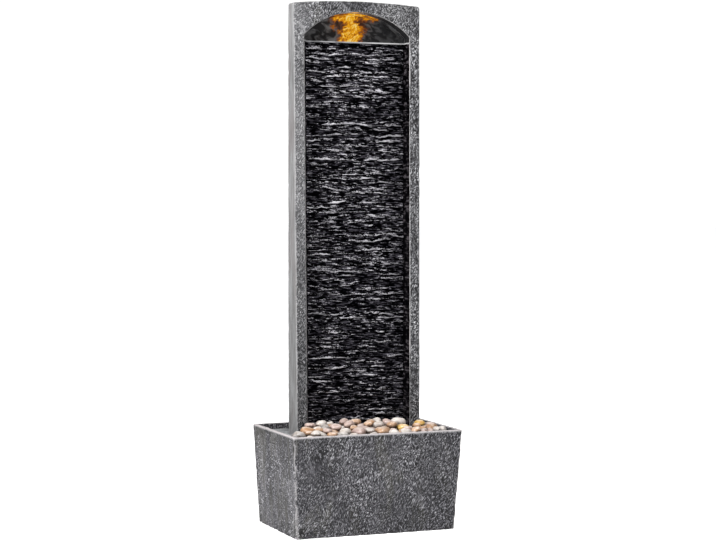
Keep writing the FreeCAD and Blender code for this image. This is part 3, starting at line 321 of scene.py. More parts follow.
def make_riven_grain():
    # Fine riven grain: pale strokes and dark pits a few millimetres across, with seams between
    # them and the long lines of a trowel in places
    group, tree, entry, leave = shader_group(
        "riven_grain", [("Place", "NodeSocketVector")],
        ("Strokes", "Peaks", "Pits", "Clouds", "Cracks", "Hollows", "Relief"))
    pitch = 640.0
    drawn = tree.stretch(entry["Place"], (1.0, 2.2, 1.0))
    sway = tree.add("ShaderNodeTexNoise", {"Vector": drawn, "Scale": 15.0, "Detail": 2.0})
    swayed = tree.add("ShaderNodeVectorMath",
                      {0: sway.outputs["Color"], 1: (0.035, 0.035, 0.035)},
                      operation="MULTIPLY").outputs[0]
    place = tree.add("ShaderNodeVectorMath", {0: drawn, 1: swayed}).outputs[0]

    lean = tree.stretch(place, (1.0, 1.0, 3.4), turn=(12.0, 26.0, 0.0))
    grains = tree.grain(lean, pitch, distortion=0.5)
    cross = tree.stretch(place, (1.0, 1.0, 4.2), turn=(-14.0, -36.0, 0.0))
    scratches = tree.grain(cross, 0.8 * pitch, distortion=0.6)
    patches = tree.ramp(tree.grain(place, 26.0, detail=3.0, distortion=0.4), 0.38, 0.58)
    longer = tree.times(tree.ramp(scratches, 0.56, 0.66), patches)

    seams = tree.stretch(place, (1.0, 1.0, 1.8), turn=(10.0, -40.0, 0.0))
    seams = tree.line(tree.grain(seams, 34.0, detail=3.0, distortion=0.8), 0.5, 0.03, 0.01)
    broken = tree.ramp(tree.grain(place, 19.0, distortion=0.5), 0.56, 0.64)
    cracks = tree.times(seams, broken)

    trowel = tree.stretch(place, (1.0, 1.0, 3.6), turn=(6.0, -42.0, 0.0))
    trowel = tree.grain(trowel, 32.0, detail=1.0, distortion=0.6)
    trowelled = tree.ramp(tree.grain(place, 21.0, distortion=0.4), 0.46, 0.56)
    hollows = tree.times(tree.line(trowel, 0.475, 0.03, 0.01), trowelled)
    ridges = tree.times(tree.line(trowel, 0.5, 0.02, 0.006), trowelled)
    longer = tree.most(longer, ridges)

    sweeps = tree.stretch(entry["Place"], (1.0, 1.0, 2.4), turn=(0.0, -35.0, 0.0))
    clouds = tree.grain(sweeps, 13.0, detail=4.0, distortion=0.6, roughness=0.6)
    raised = tree.plus(grains, tree.times(longer, 0.35))
    sunk = tree.times(tree.most(cracks, hollows), 0.6)
    tree.feed(leave["Strokes"], tree.most(tree.ramp(grains, 0.505, 0.59), longer))
    tree.feed(leave["Peaks"], tree.ramp(grains, 0.61, 0.68))
    tree.feed(leave["Pits"], tree.ramp(grains, 0.49, 0.43))
    tree.feed(leave["Clouds"], clouds)
    tree.feed(leave["Cracks"], cracks)
    tree.feed(leave["Hollows"], hollows)
    tree.feed(leave["Relief"], tree.minus(raised, sunk))
    return group


def make_moulded_grain():
    # Fine leathery grain of moulded plastic and rubber, with a little dust
    group, tree, entry, leave = shader_group(
        "moulded_grain", [("Place", "NodeSocketVector"), ("Fineness", "NodeSocketFloat")],
        ("Height", "Dust"))
    tree.feed(leave["Height"], tree.grain(entry["Place"], entry["Fineness"]))
    dust = tree.grain(entry["Place"], 34.0, detail=4.0, distortion=0.3)
    tree.feed(leave["Dust"], tree.ramp(dust, 0.5, 0.75))
    return group


def soft_spot(tree, where, place, size, unrest=0.0):
    # A blurred patch: 1 in its middle, 0 outside it, with a ragged edge where there is unrest
    spot = tree.add("ShaderNodeMapping", {"Vector": where}, vector_type="TEXTURE")
    spot.inputs["Location"].default_value = place
    spot.inputs["Scale"].default_value = size
    far = tree.add("ShaderNodeVectorMath", {0: spot.outputs["Vector"]}, operation="LENGTH")
    return tree.ramp(tree.plus(far.outputs["Value"], unrest), 1.25, 0.35)


riven_grain = make_riven_grain()
moulded_grain = make_moulded_grain()


# Finishes

def brushed(tree, skin, base, strong, ground, pale):
    # Dry-brushed strokes on the grain's crests, and dark pits, seams and trowel hollows
    base = tree.blend(tree.times(skin["Strokes"], strong), base, pale)
    base = tree.blend(tree.times(skin["Peaks"], strong), base, rgb(0.52, 0.52, 0.535))
    dents = tree.times(tree.most(skin["Pits"], skin["Cracks"]), strong)
    base = tree.blend(dents, base, rgb(0.004, 0.004, 0.005))
    return tree.blend(tree.times(skin["Hollows"], tree.times(strong, 0.6)), base, ground)


def stained_flank(tree, where, part, runs, base):
    # Dark seeps and pale upright scratches on the basin's left side
    flank = tree.ramp(part["X"], *basin_flank_x)
    seep = tree.grain(tree.stretch(where, (1.0, 1.0, 6.0)), 42.0, distortion=0.5)
    seep = tree.times(tree.ramp(seep, 0.49, 0.6), flank)
    base = tree.blend(tree.times(seep, 0.6), base, rgb(0.04, 0.038, 0.03))
    scratched = tree.times(tree.ramp(runs, 0.54, 0.64), flank)
    return tree.blend(tree.times(scratched, 0.33), base, rgb(0.3, 0.29, 0.305))


def tower_marks(tree, where, part, skin, runs, plain, base):
    # Upright runs on the right stile, painted light that makes the left end of the head paler,
    # and a darker patch over the lamp
    lined = tree.blend(tree.ramp(runs, 0.42, 0.56), rgb(0.4, 0.4, 0.41), rgb(2.15, 2.18, 2.16))
    right = tree.times(tree.ramp(part["X"], *right_stile_x), tree.ramp(part["Z"], *under_head_z))
    right = tree.times(right, tree.without(plain))
    base = tree.tint(tree.times(right, 0.6), base, lined)
    # Painted light: the left end of the head paler, as the light falls from the left
    left = tree.times(tree.ramp(part["X"], *left_stile_x), tree.ramp(part["Z"], *head_z))
    base = tree.tint(left, base, rgb(1.2, 1.2, 1.2))
    # A darker patch over the lamp
    crown_dark = soft_spot(tree, where, (crown_dark_x, tower_low.y, tower_high.z), crown_dark_size,
                     tree.swing(skin["Clouds"], 0.8))
    return tree.tint(tree.times(crown_dark, 0.85), base, rgb(0.42, 0.42, 0.45))


def cast_slate(name, ground, pale, rub_tone, dark_band_z, lit_left_x=nowhere, over_lamp=False):
    # Cast slate, dry-brushed pale on its strokes and edges; darker and glossier towards its foot
    # or its rim; darker on its right with painted shade; and for the tower paler and less
    # brushed on its left with painted light, darker over the lamp, and with painted shade in the
    # opening's reveals
    material, tree, surface, where = start_finish(name)
    skin = tree.use(riven_grain, place=where)
    wear_and_highlight, shade, plain = (tree.attribute(label) for label in ("wear_and_highlight", "shade", "plain"))
    part = tree.axes(where)
    dark_band = tree.ramp(part["Z"], *dark_band_z)
    lit_left = tree.ramp(part["X"], *lit_left_x)

    base = tree.blend(tree.times(tree.ramp(skin["Clouds"], 0.35, 0.65), 0.16), ground, pale)
    stain = tree.grain(tree.stretch(where, (1.0, 1.0, 5.0)), 26.0, detail=3.0, distortion=0.8)
    stain = tree.ramp(stain, 0.53, 0.66)
    base = tree.blend(tree.times(stain, 0.35), base, rgb(0.085, 0.082, 0.055))
    # Painted light: the tower's left stile paler, as the light falls from the left
    base = tree.blend(tree.times(lit_left, 0.14), base, pale)
    # Darker and glossier in a band towards the tower's foot or the basin's rim
    base = tree.tint(dark_band, base, rgb(0.4, 0.4, 0.42))

    calm = tree.ramp(tree.grain(where, 12.0, distortion=0.5), 0.44, 0.6)
    calm = tree.times(tree.times(calm, tree.ramp(part["X"], *calm_x)), 0.34)
    smoothed = tree.times(lit_left, tree.minus(0.5, tree.times(dark_band, 0.5)))
    strong = tree.times(tree.without(plain, 0.6), tree.without(tree.most(calm, smoothed)))
    base = brushed(tree, skin, base, strong, ground, pale)

    runs = tree.grain(tree.stretch(where, (1.0, 1.0, 22.0)), 360.0)
    base = stained_flank(tree, where, part, runs, base)
    smooth = tree.blend(tree.ramp(runs, 0.4, 0.6), rgb(0.12, 0.117, 0.115),
                        rgb(0.225, 0.227, 0.23))
    smooth = tree.blend(tree.times(stain, 0.4), smooth, rgb(0.15, 0.128, 0.132))
    base = tree.blend(tree.times(plain, 0.8), base, smooth)
    overcast = tree.times(tree.ramp(skin["Clouds"], 0.6, 0.36), tree.times(strong, 0.8))
    base = tree.tint(overcast, base, rgb(0.5, 0.5, 0.52))
    dark_band = tree.times(dark_band, tree.without(plain, 0.8))
    base = tree.tint(dark_band, base, rgb(0.62, 0.62, 0.63))
    # Painted shade: darker towards the right, away from the light
    shaded_right = tree.times(tree.ramp(part["X"], *shaded_right_x), tree.without(dark_band))
    base = tree.tint(shaded_right, base, rgb(0.76, 0.76, 0.77))

    if over_lamp:
        base = tower_marks(tree, where, part, skin, runs, plain, base)
        # Near the lamp the soffit keeps little of its painted shade, so the lamp's light shows
        # on it
        lit = soft_spot(tree, where, (0.0, tower_low.y, lit_soffit_z), lit_soffit_size)
        shade = tree.times(shade, tree.without(lit, 0.85))
    # Painted shade: the opening's reveals and the soffit under the arch near-black
    base = tree.blend(shade, base, rgb(0.006, 0.006, 0.007))
    ragged = tree.plus(tree.swing(skin["Clouds"], 0.5), tree.swing(skin["Strokes"], 0.3))
    rubbed = tree.ramp(tree.plus(wear_and_highlight, ragged), 0.25, 0.8)
    base = tree.blend(tree.times(rubbed, 0.7), base, rub_tone)
    # Pale wear on the rim, and the painted highlight on the opening's right edge
    rim = tree.ramp(wear_and_highlight, 1.1, 1.28)
    base = tree.blend(tree.times(rim, 0.6), base, rgb(0.5, 0.46, 0.46))

    rough = tree.minus(tree.plus(0.58, tree.times(skin["Strokes"], 0.15)),
                       tree.times(dark_band, 0.18))
    relief = tree.times(skin["Relief"], strong)
    coat(tree, surface, base, rough, tree.bump(relief, 1.6 * mm))
    surface.inputs["Specular IOR Level"].default_value = 0.3
    return material


def wet_slate():
    # Near-black slate under running water: the ledges' noses carry a painted highlight and
    # shine with a coat
    material, tree, surface, where = start_finish("wet_slate")
    nose_highlight = tree.attribute("nose_highlight")
    part = tree.axes(where)
    streaks = tree.stretch(where, (6.0, 1.0, 1.0), turn=(0.0, 2.0, 0.0))
    streaks = tree.grain(streaks, 430.0, distortion=0.6)
    drift = tree.grain(tree.stretch(where, (2.6, 1.0, 1.0)), 95.0, distortion=0.4)
    nicks = tree.grain(tree.stretch(where, (1.8, 1.0, 1.0)), 620.0, detail=1.0)
    low = tree.ramp(part["Z"], 620.0 * mm, 250.0 * mm)
    shaded = tree.ramp(part["X"], 55.0 * mm, 85.0 * mm)
    seen = tree.plus(nose_highlight, tree.plus(tree.swing(streaks, 1.8), tree.swing(nicks, 1.1)))
    nose = tree.ramp(tree.minus(seen, tree.times(low, 0.03)), 0.47, 0.72)
    nose = tree.times(nose, tree.plus(0.5, tree.times(tree.ramp(drift, 0.4, 0.56), 0.4)))
    # Painted shade: the noses dimmer towards the wall's right edge
    nose = tree.times(nose, tree.without(shaded, 0.5))
    tone = tree.blend(tree.ramp(streaks, 0.51, 0.6), rgb(0.0004, 0.0004, 0.0006),
                      rgb(0.034, 0.032, 0.039))
    # Painted highlight: the ledges' noses pale
    tone = tree.blend(nose, tone, rgb(0.43, 0.42, 0.45))
    coat(tree, surface, tone, tree.plus(0.34, tree.times(streaks, 0.2)),
         tree.bump(streaks, 0.8 * mm, 0.7))
    surface.inputs["Specular IOR Level"].default_value = 0.0
    surface.inputs["Coat Roughness"].default_value = 0.18
    tree.feed(surface.inputs["Coat Weight"], nose)
    return material


def dark_channel():
    # Wet channel beside the wall, near-black as painted shade, with faint pale streaks that
    # carry the ledges' painted highlights on
    material, tree, surface, where = start_finish("dark_channel")
    streaks = tree.stretch(where, (5.0, 5.0, 1.0))
    streaks = tree.grain(streaks, 300.0, detail=3.0, distortion=0.6)
    breaks = tree.grain(where, 60.0, distortion=0.4)
    # Painted highlights: the faint pale streaks
    pale = tree.times(tree.ramp(streaks, 0.5, 0.62), tree.ramp(breaks, 0.38, 0.56))
    tone = tree.blend(pale, rgb(0.0006, 0.0005, 0.0008), rgb(0.05, 0.045, 0.05))
    coat(tree, surface, tone, tree.plus(0.45, tree.times(streaks, 0.2)),
         tree.bump(streaks, 0.8 * mm, 0.8))
    surface.inputs["Specular IOR Level"].default_value = 0.01
    return material


def painted_glow(tree, where, part, funnel):
    # How strong the lamp's painted light is at a place: rays and threads of light, with dark
    # patches
    waves = tree.stretch(where, (2.4, 1.0, 1.0), turn=(0.0, -24.0, 0.0))
    waves = tree.grain(waves, 170.0, distortion=0.5)
    bend = tree.stretch(where, (1.0, 1.0, 2.6), turn=(0.0, 30.0, 0.0))
    bend = tree.grain(bend, 100.0, detail=1.0, distortion=0.6)
    rays = tree.stretch(where, (1.0, 1.0, 2.6), turn=(0.0, -24.0, 0.0))
    rays = tree.grain(rays, 210.0, detail=1.0, distortion=0.7)

    ripples = tree.ramp(waves, 0.36, 0.64)
    threads = tree.line(bend, 0.5, 0.05, 0.005)
    core = tree.line(part["X"], 0.0, 26.0 * mm, 4.0 * mm)
    glow_strength = tree.plus(0.25, tree.plus(tree.times(ripples, 0.4), tree.times(core, 0.14)))
    glow_strength = tree.plus(glow_strength, tree.plus(tree.times(threads, 0.24), tree.swing(rays, 0.8)))

    gloom = 0.0
    for (x, z), (half_wide, half_high), unrest in gloom_spots:
        spot = soft_spot(tree, where, (x, alcove_y, z), (half_wide, gloom_deep, half_high),
                         tree.swing(waves, 1.6 * unrest))
        gloom = tree.most(gloom, spot)
    return tree.times(tree.times(funnel, glow_strength), tree.without(gloom, 0.78))


def alcove_wall():
    # Charcoal wall with the lamp's light painted on it as a glow: wide under the crown, a funnel
    # down to the lip
    material, tree, surface, where = start_finish("alcove_wall")
    part = tree.axes(where)
    skin = tree.use(moulded_grain, place=where, fineness=300.0)
    smear = tree.stretch(where, (1.9, 1.0, 1.0), turn=(0.0, 25.0, 0.0))
    smear = tree.grain(smear, 75.0, detail=4.0, distortion=1.2)
    # Painted shade: the pale smears fainter towards the right
    dimmed = tree.without(tree.ramp(part["X"], 0.0, 70.0 * mm), 0.6)
    bare = tree.blend(tree.times(tree.ramp(smear, 0.42, 0.62), dimmed),
                      rgb(0.016, 0.0165, 0.018), rgb(0.19, 0.193, 0.2))

    rise = tree.ramp(part["Z"], 928.0 * mm, 966.0 * mm)
    crown = tree.ramp(part["Z"], 958.0 * mm, 978.0 * mm)
    reach = tree.plus(tree.times(rise, 14.0 * mm), tree.times(crown, 34.0 * mm))
    reach = tree.plus(24.0 * mm, reach)
    wander = tree.swing(tree.grain(where, 90.0, distortion=0.8), 30.0 * mm)
    across = tree.math("ABSOLUTE", tree.plus(tree.minus(part["X"], 1.5 * mm), wander))
    funnel = tree.ramp(tree.math("DIVIDE", across, reach), 1.2, 0.6)

    glow_strength = painted_glow(tree, where, part, funnel)
    colour = tree.add("ShaderNodeValToRGB", {"Fac": glow_strength})
    stops = colour.color_ramp.elements
    stops[0].position, stops[0].color = 0.03, rgb(0.0, 0.0, 0.0)
    stops[1].position, stops[1].color = 0.95, rgb(1.0, 0.76, 0.24)
    for position, tone in ((0.15, rgb(0.1, 0.022, 0.002)), (0.35, rgb(0.42, 0.12, 0.0)),
                           (0.55, rgb(0.8, 0.31, 0.0)), (0.75, rgb(0.95, 0.47, 0.004))):
        stops.new(position).color = tone
    # The wall darker and browner under the painted glow
    under_glow = tree.most(tree.times(funnel, 0.8), tree.ramp(glow_strength, 0.05, 0.3))
    coat(tree, surface, tree.blend(under_glow, bare, rgb(0.012, 0.006, 0.004)),
         tree.plus(0.4, tree.times(smear, 0.25)), tree.bump(skin["Height"], 0.2 * mm, 0.3))
    # Painted light: the lamp's glow, as emission from the wall
    tree.feed(surface.inputs["Emission Color"], colour.outputs["Color"])
    surface.inputs["Emission Strength"].default_value = 0.8
    surface.inputs["Specular IOR Level"].default_value = 0.25
    return material


def wet_lip():
    # Grey lip with a film of water, washed paler in places and at its right end
    material, tree, surface, where = start_finish("wet_lip")
    lines = tree.grain(tree.stretch(where, (9.0, 1.0, 1.0)), 420.0)
    wash = tree.ramp(tree.grain(where, 55.0), 0.4, 0.62)
    far_end = tree.ramp(tree.axes(where)["X"], 0.0, 50.0 * mm)
    base = tree.blend(lines, rgb(0.08, 0.08, 0.084), rgb(0.2, 0.2, 0.208))
    base = tree.blend(tree.times(far_end, 0.5), base, rgb(0.52, 0.52, 0.52))
    base = tree.blend(tree.times(wash, 0.4), base, rgb(0.33, 0.33, 0.34))
    coat(tree, surface, base, tree.plus(0.25, tree.times(lines, 0.25)),
         tree.bump(lines, 0.15 * mm, 0.4))
    return material


def brushed_screw():
    material, tree, surface, where = start_finish("brushed_screw")
    lines = tree.grain(where, 1400.0)
    base = tree.blend(lines, rgb(0.46, 0.46, 0.46), rgb(0.66, 0.66, 0.65))
    coat(tree, surface, base, tree.plus(0.25, tree.times(lines, 0.2)),
         tree.bump(lines, 0.05 * mm, 0.3))
    surface.inputs["Metallic"].default_value = 1.0
    return material


def moulded(name, tone, dusty_tone, roughness, fineness=900.0, depth=0.12 * mm):
    material, tree, surface, where = start_finish(name)
    skin = tree.use(moulded_grain, place=where, fineness=fineness)
    base = tree.blend(tree.times(skin["Dust"], 0.5), tone, dusty_tone)
    coat(tree, surface, base, tree.plus(roughness, tree.times(skin["Dust"], 0.15)),
         tree.bump(skin["Height"], depth, 0.5))
    return material


def weathered_cover():
    # Black moulded cover with dust caught in its grain, water marks and long scuffs
    material, tree, surface, where = start_finish("weathered_cover")
    skin = tree.use(moulded_grain, place=where, fineness=320.0)
    runs = tree.stretch(where, (1.0, 1.0, 14.0))
    runs = tree.grain(runs, 150.0, detail=3.0, distortion=0.3)
    patches = tree.ramp(tree.grain(where, 9.0, distortion=0.4), 0.42, 0.62)
    marks = tree.times(tree.ramp(runs, 0.52, 0.68), patches)
    scuffs = tree.stretch(where, (6.0, 1.0, 1.0), turn=(0.0, 18.0, 0.0))
    scuffs = tree.ramp(tree.grain(scuffs, 240.0, distortion=0.4), 0.64, 0.72)
    scuffs = tree.times(scuffs, tree.ramp(skin["Dust"], 0.2, 0.7))
    base = tree.blend(tree.times(skin["Dust"], 0.5), rgb(0.018, 0.018, 0.019),
                      rgb(0.05, 0.049, 0.047))
    base = tree.blend(tree.times(marks, 0.55), base, rgb(0.085, 0.083, 0.078))
    base = tree.blend(tree.times(scuffs, 0.5), base, rgb(0.14, 0.14, 0.138))
    relief = tree.minus(skin["Height"], tree.times(scuffs, 0.6))
    coat(tree, surface, base, tree.plus(0.42, tree.times(marks, 0.3)),
         tree.bump(relief, 0.3 * mm, 0.6))
    return material


def wet_deck():
    # Light grey moulding with shallow pools of water, which are paler with a painted reflection
    # and shine with a coat
    material, tree, surface, where = start_finish("wet_deck")
    skin = tree.use(moulded_grain, place=where, fineness=260.0)
    pools_and_sheen = tree.ramp(tree.grain(where, 40.0, detail=3.0, distortion=0.6), 0.42, 0.6)
    # Painted reflection: the pools paler than the rest of the moulding
    base = tree.blend(pools_and_sheen, rgb(0.24, 0.25, 0.255), rgb(0.46, 0.475, 0.485))
    base = tree.blend(tree.times(skin["Dust"], 0.5), base, rgb(0.5, 0.5, 0.49))
    coat(tree, surface, base, tree.minus(0.5, tree.times(pools_and_sheen, 0.35)),
         tree.bump(skin["Height"], 0.3 * mm, 0.5))
    surface.inputs["Coat Roughness"].default_value = 0.05
    tree.feed(surface.inputs["Coat Weight"], tree.times(pools_and_sheen, 0.7))
    return material


def clear_hose():
    # Cloudy vinyl, greener where dust clings to it
    material, tree, surface, where = start_finish("clear_hose")
    skin = tree.use(moulded_grain, place=where, fineness=600.0)
    base = tree.blend(skin["Dust"], rgb(0.62, 0.66, 0.64), rgb(0.45, 0.48, 0.42))
    coat(tree, surface, base, tree.plus(0.12, tree.times(skin["Dust"], 0.2)),
         tree.bump(skin["Height"], 0.1 * mm, 0.3))
    surface.inputs["Coat Weight"].default_value = 0.4
    return material


def lit_lens():
    # Ribbed lens of the warm lamp
    material, tree, surface, where = start_finish("lit_lens")
    ribs = tree.grain(tree.stretch(where, (1.0, 10.0, 10.0)), 420.0, detail=1.0)
    glow = tree.blend(ribs, rgb(1.0, 0.42, 0.03), rgb(1.0, 0.6, 0.12))
    coat(tree, surface, tree.blend(0.75, glow, rgb(0.1, 0.05, 0.01)),
         tree.plus(0.2, tree.times(ribs, 0.2)), tree.bump(ribs, 0.2 * mm, 0.4))
    tree.feed(surface.inputs["Emission Color"], glow)
    surface.inputs["Emission Strength"].default_value = 0.5
    return material


def river_stone(name, dark, light, vein):
    # Rounded stone, with a painted highlight on its top and painted shade low down, where it
    # meets its neighbours
    material, tree, surface, where = start_finish(name)
    tint, level = tree.attribute("tint"), tree.attribute("level")
    clouds = tree.grain(where, 85.0, detail=4.0, distortion=0.8, roughness=0.6)
    specks = tree.grain(where, 1300.0)
    bands = tree.stretch(where, (1.0, 1.0, 2.0), turn=(20.0, 35.0, 0.0))
    bands = tree.grain(bands, 60.0, detail=3.0, distortion=1.0)
    share = tree.math("ADD", tree.times(tree.ramp(clouds, 0.34, 0.66), 0.6),
                      tree.times(tint, 0.45), clamp=True)
    base = tree.blend(share, dark, light)
    base = tree.blend(tree.times(tree.ramp(bands, 0.54, 0.62), 0.55), base, vein)
    ragged = tree.plus(level, tree.swing(clouds, 0.8))
    # Painted highlight on the stone's top
    lit_top = tree.times(tree.ramp(ragged, 0.75, 1.05), 0.42)
    base = tree.blend(lit_top, base, rgb(0.72, 0.67, 0.62))
    # Painted shade low down on the stone
    shaded_under = tree.times(tree.ramp(ragged, 0.7, 0.3), 0.9)
    base = tree.blend(shaded_under, base, rgb(0.06, 0.03, 0.018))
    specked = tree.times(tree.ramp(specks, 0.6, 0.75), 0.22)
    base = tree.blend(specked, base, rgb(0.12, 0.1, 0.09))
    relief = tree.plus(clouds, tree.times(specks, 0.12))
    coat(tree, surface, base, tree.plus(0.32, tree.times(clouds, 0.3)),
         tree.bump(relief, 0.5 * mm, 0.5))
    surface.inputs["Coat Roughness"].default_value = 0.15
    tree.feed(surface.inputs["Coat Weight"], tree.times(tree.ramp(clouds, 0.4, 0.6), 0.25))
    return material


# Castings: the basin and the tower, remeshed so that their faces can be cut like riven slate

def edge_stand(bm):
    # How far each point stands proud of the softened form: large along convex edges
    soft = bm.copy()
    for _ in range(casting_soften_passes):
        bmesh.ops.smooth_vert(soft, verts=soft.verts, factor=0.5, use_axis_x=True,
                              use_axis_y=True, use_axis_z=True)
    stand = [(v.co - s.co).dot(v.normal) for v, s in zip(bm.verts, soft.verts)]
    soft.free()
    return stand


def chisel(place, edge):
    # Depth cut away at a point: broad hollows, slanting tool marks, and chips along the edges
    x, y, z = place
    broad = 0.5 + 0.5 * wave_at(place, 16, 1)
    slant = wave((x + y) * 34 + z * 26, (x - y) * 6, z * 9, 2)
    marks = max(0.0, 1.0 - abs(slant) * 4.5) * max(0.0, wave_at(place, 9, 3) + 0.2)
    pits = max(0.0, wave_at(place, 130, 4) - 0.2)
    chips = max(0.0, wave_at(place, 85, 5) - 0.05) * edge
    at_foot = max(0.0, 1.0 - z / foot_height)
    return (hollow_depth * broad + mark_depth * marks + pit_depth * pits
            + (chip_depth + foot_chip_depth * at_foot) * chips)


def resurfaced(node, name):
    # An even mesh of small quads over the node, with its sharp edges kept
    rough = link(bpy.data.objects.new(name + "_rough", bpy.data.meshes.new(name + "_rough")))
    bm = welded(node)
    bm.to_mesh(rough.data)
    bm.free()
    remesh = rough.modifiers.new("remesh", "REMESH")
    remesh.mode = "SHARP"
    remesh.octree_depth = casting_depth[node]
    remesh.scale = casting_fill
    remesh.use_remove_disconnected = False
    bpy.context.view_layer.update()
    seen = rough.evaluated_get(bpy.context.evaluated_depsgraph_get())
    bm = bmesh.new()
    bm.from_mesh(bpy.data.meshes.new_from_object(seen))
    bpy.data.objects.remove(rough)
    bm.normal_update()
    return bm


def mark_basin(vert, wear):
    # Wear, shade and plainness of a point: all of the rim is worn, but not the walls inside
    outward = (vert.normal.z > facing_up
               or vert.normal.x * vert.co.x + vert.normal.y * vert.co.y > 0.0)
    on_rim = outward and vert.co.z > rim_top - rim_band
    return rim_wear if on_rim else wear, 0.0, 0.0


def mark_tower(vert, wear):
    # The same of the tower: the opening's reveals get painted shade but for its right edge,
    # which gets a painted highlight where it catches the light, and the two outer sides are
    # plain
    faces_in = vert.normal.x * vert.co.x < 0.0 and abs(vert.normal.x) > turned_a_little
    under_arch = vert.normal.z < -turned_a_little and vert.co.z > slate_high.z
    in_reveal = abs(vert.co.x) < opening_half and (faces_in or under_arch)
    outer_side = abs(vert.normal.x) > facing_sideways and not faces_in
    # Painted highlight on the opening's right edge, where the light catches it
    lit_edge = (0.0 < vert.co.x < opening_half and vert.normal.x < -turned_a_little
                and (vert.normal.y < -turned_a_little or wear > lit_edge_least_wear))
    if lit_edge:
        return lit_edge_highlight, 0.0, float(outer_side)
    return wear, float(in_reveal), float(outer_side)


def casting(node, name, material, mark):
    low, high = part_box(node)
    cell = max(high - low) / casting_fill / 2 ** casting_depth[node]
    bm = resurfaced(node, name)
    layers = [bm.verts.layers.float.new(label) for label in ("wear_and_highlight", "shade", "plain")]
    for vert, stand in zip(bm.verts, edge_stand(bm)):
        wear = held(stand / (edge_wear * cell))
        for layer, value in zip(layers, mark(vert, wear)):
            vert[layer] = value
        vert.co -= vert.normal * chisel(vert.co, held(stand / (edge_full * cell)))
        for axis in range(3):
            vert.co[axis] = min(high[axis], max(low[axis], vert.co[axis]))
    return finish_piece(bm, name, "fountain", material, node)


# Water wall

def edge_of_slate(level, axis):
    # The slate's widest or rearmost place near one level
    return max(vert.co[axis] for vert in nodes["slate_face"].data.vertices
               if abs(vert.co.z - level) < slate_edge_reach)


back_plane_foot = edge_of_slate(slate_low.z, 1)
back_plane_top = edge_of_slate(slate_high.z, 1)
half_at_foot = edge_of_slate(slate_low.z, 0)
half_at_top = edge_of_slate(slate_high.z, 0)


def along_wall(z, at_foot, at_top):
    share = (z - slate_low.z) / (slate_high.z - slate_low.z)
    return at_foot + (at_top - at_foot) * share


def wall_back(z):
    # The slate's back plane leans with the tower's front
    return along_wall(z, back_plane_foot, back_plane_top)


def ledge(level, along, pitch, seed):
    # One course of ledges: each juts out at its foot, slopes back upwards and breaks along its
    # length. Gives its rise and the strength of the painted highlight on its nose
    course = math.floor(level / pitch)
    above = level / pitch - course
    strength = 0.6 + 0.9 * wave(along * 26, course * 5.3, 0.0, seed)
    nick = 0.5 + 0.7 * wave(along * 70, course * 3.7, 0.0, seed + 1)
    strength = min(1.0, max(0.1, strength * (0.75 + 0.35 * nick)))
    nose = min(1.0, 0.35 + above / ledge_nose)
    return strength * nose * (1.0 - above) ** 1.25, strength * (1.0 - above) ** 1.5


def slate_rise(x, z):
    # Courses of ledges wander across the wall, and finer ones run between them
    bent = z
    for height, pitch_across, pitch_up, seed in slate_bends:
        bent += height * wave(x * pitch_across, 0.0, z * pitch_up, seed)
    broad, pale = ledge(bent, x, slate_course, 13)
    fine_level = bent + fine_bend * wave(x * 26, 0.0, z * 30, 18)
    fine, fine_pale = ledge(fine_level, x + 1.0, slate_fine_course, 23)
    swell = 0.5 + 0.5 * wave(x * 14, 0.0, z * 20, 15)
    return slate_crest * (0.62 * broad + 0.24 * fine + 0.14 * swell), max(pale, 0.7 * fine_pale)


def water_wall(material):
    # A sheet of quads raised into ledges, closed at the back on the slate's own plane
    bm = bmesh.new()
    bmesh.ops.create_grid(bm, x_segments=slate_columns, y_segments=slate_rows, size=0.5)
    nose_highlight = bm.verts.layers.float.new("nose_highlight")
    for vert in bm.verts:
        share = vert.co.y + 0.5
        z = slate_low.z + (slate_high.z - slate_low.z) * share
        x = vert.co.x * 2.0 * (along_wall(z, half_at_foot, half_at_top) - slate_side_gap)
        rise, vert[nose_highlight] = slate_rise(x, z)
        rise *= min(1.0, share * slate_fade, (1.0 - share) * slate_fade)
        vert.co = Vector((x, wall_back(z) - slate_ground - rise, z - slate_sag * rise))
    rim = [edge for edge in bm.edges if edge.is_boundary]
    pulled = bmesh.ops.extrude_edge_only(bm, edges=rim)["geom"]
    for vert in (item for item in pulled if isinstance(item, bmesh.types.BMVert)):
        vert.co.y = wall_back(vert.co.z)
    bmesh.ops.holes_fill(bm, edges=[edge for edge in bm.edges if edge.is_boundary])
    bmesh.ops.recalc_face_normals(bm, faces=bm.faces)
    return finish_piece(bm, "water_wall", "fountain", material, "slate_face")


# Pebbles: each solid of the heap becomes a rounded stone in the same place

def islands(bm):
    # The separate stones, each as its points in order of index
    left = set(bm.verts)
    while left:
        stack = [left.pop()]
        island = []
        while stack:
            vert = stack.pop()
            island.append(vert)
            for edge in vert.link_edges:
                other = edge.other_vert(vert)
                if other in left:
                    left.remove(other)
                    stack.append(other)
        yield sorted(island, key=lambda v: v.index)


def flatten(offsets, rng):
    # Cuts most of a stone's bulge away on a few sides
    for _ in range(stone_flats):
        facing = Vector([rng.gauss(0.0, 1.0) for _ in range(3)]).normalized()
        limit = max(offset.dot(facing) for offset in offsets) * rng.uniform(*stone_flat_share)
        for offset in offsets:
            offset -= facing * max(0.0, offset.dot(facing) - limit) * stone_flat_cut


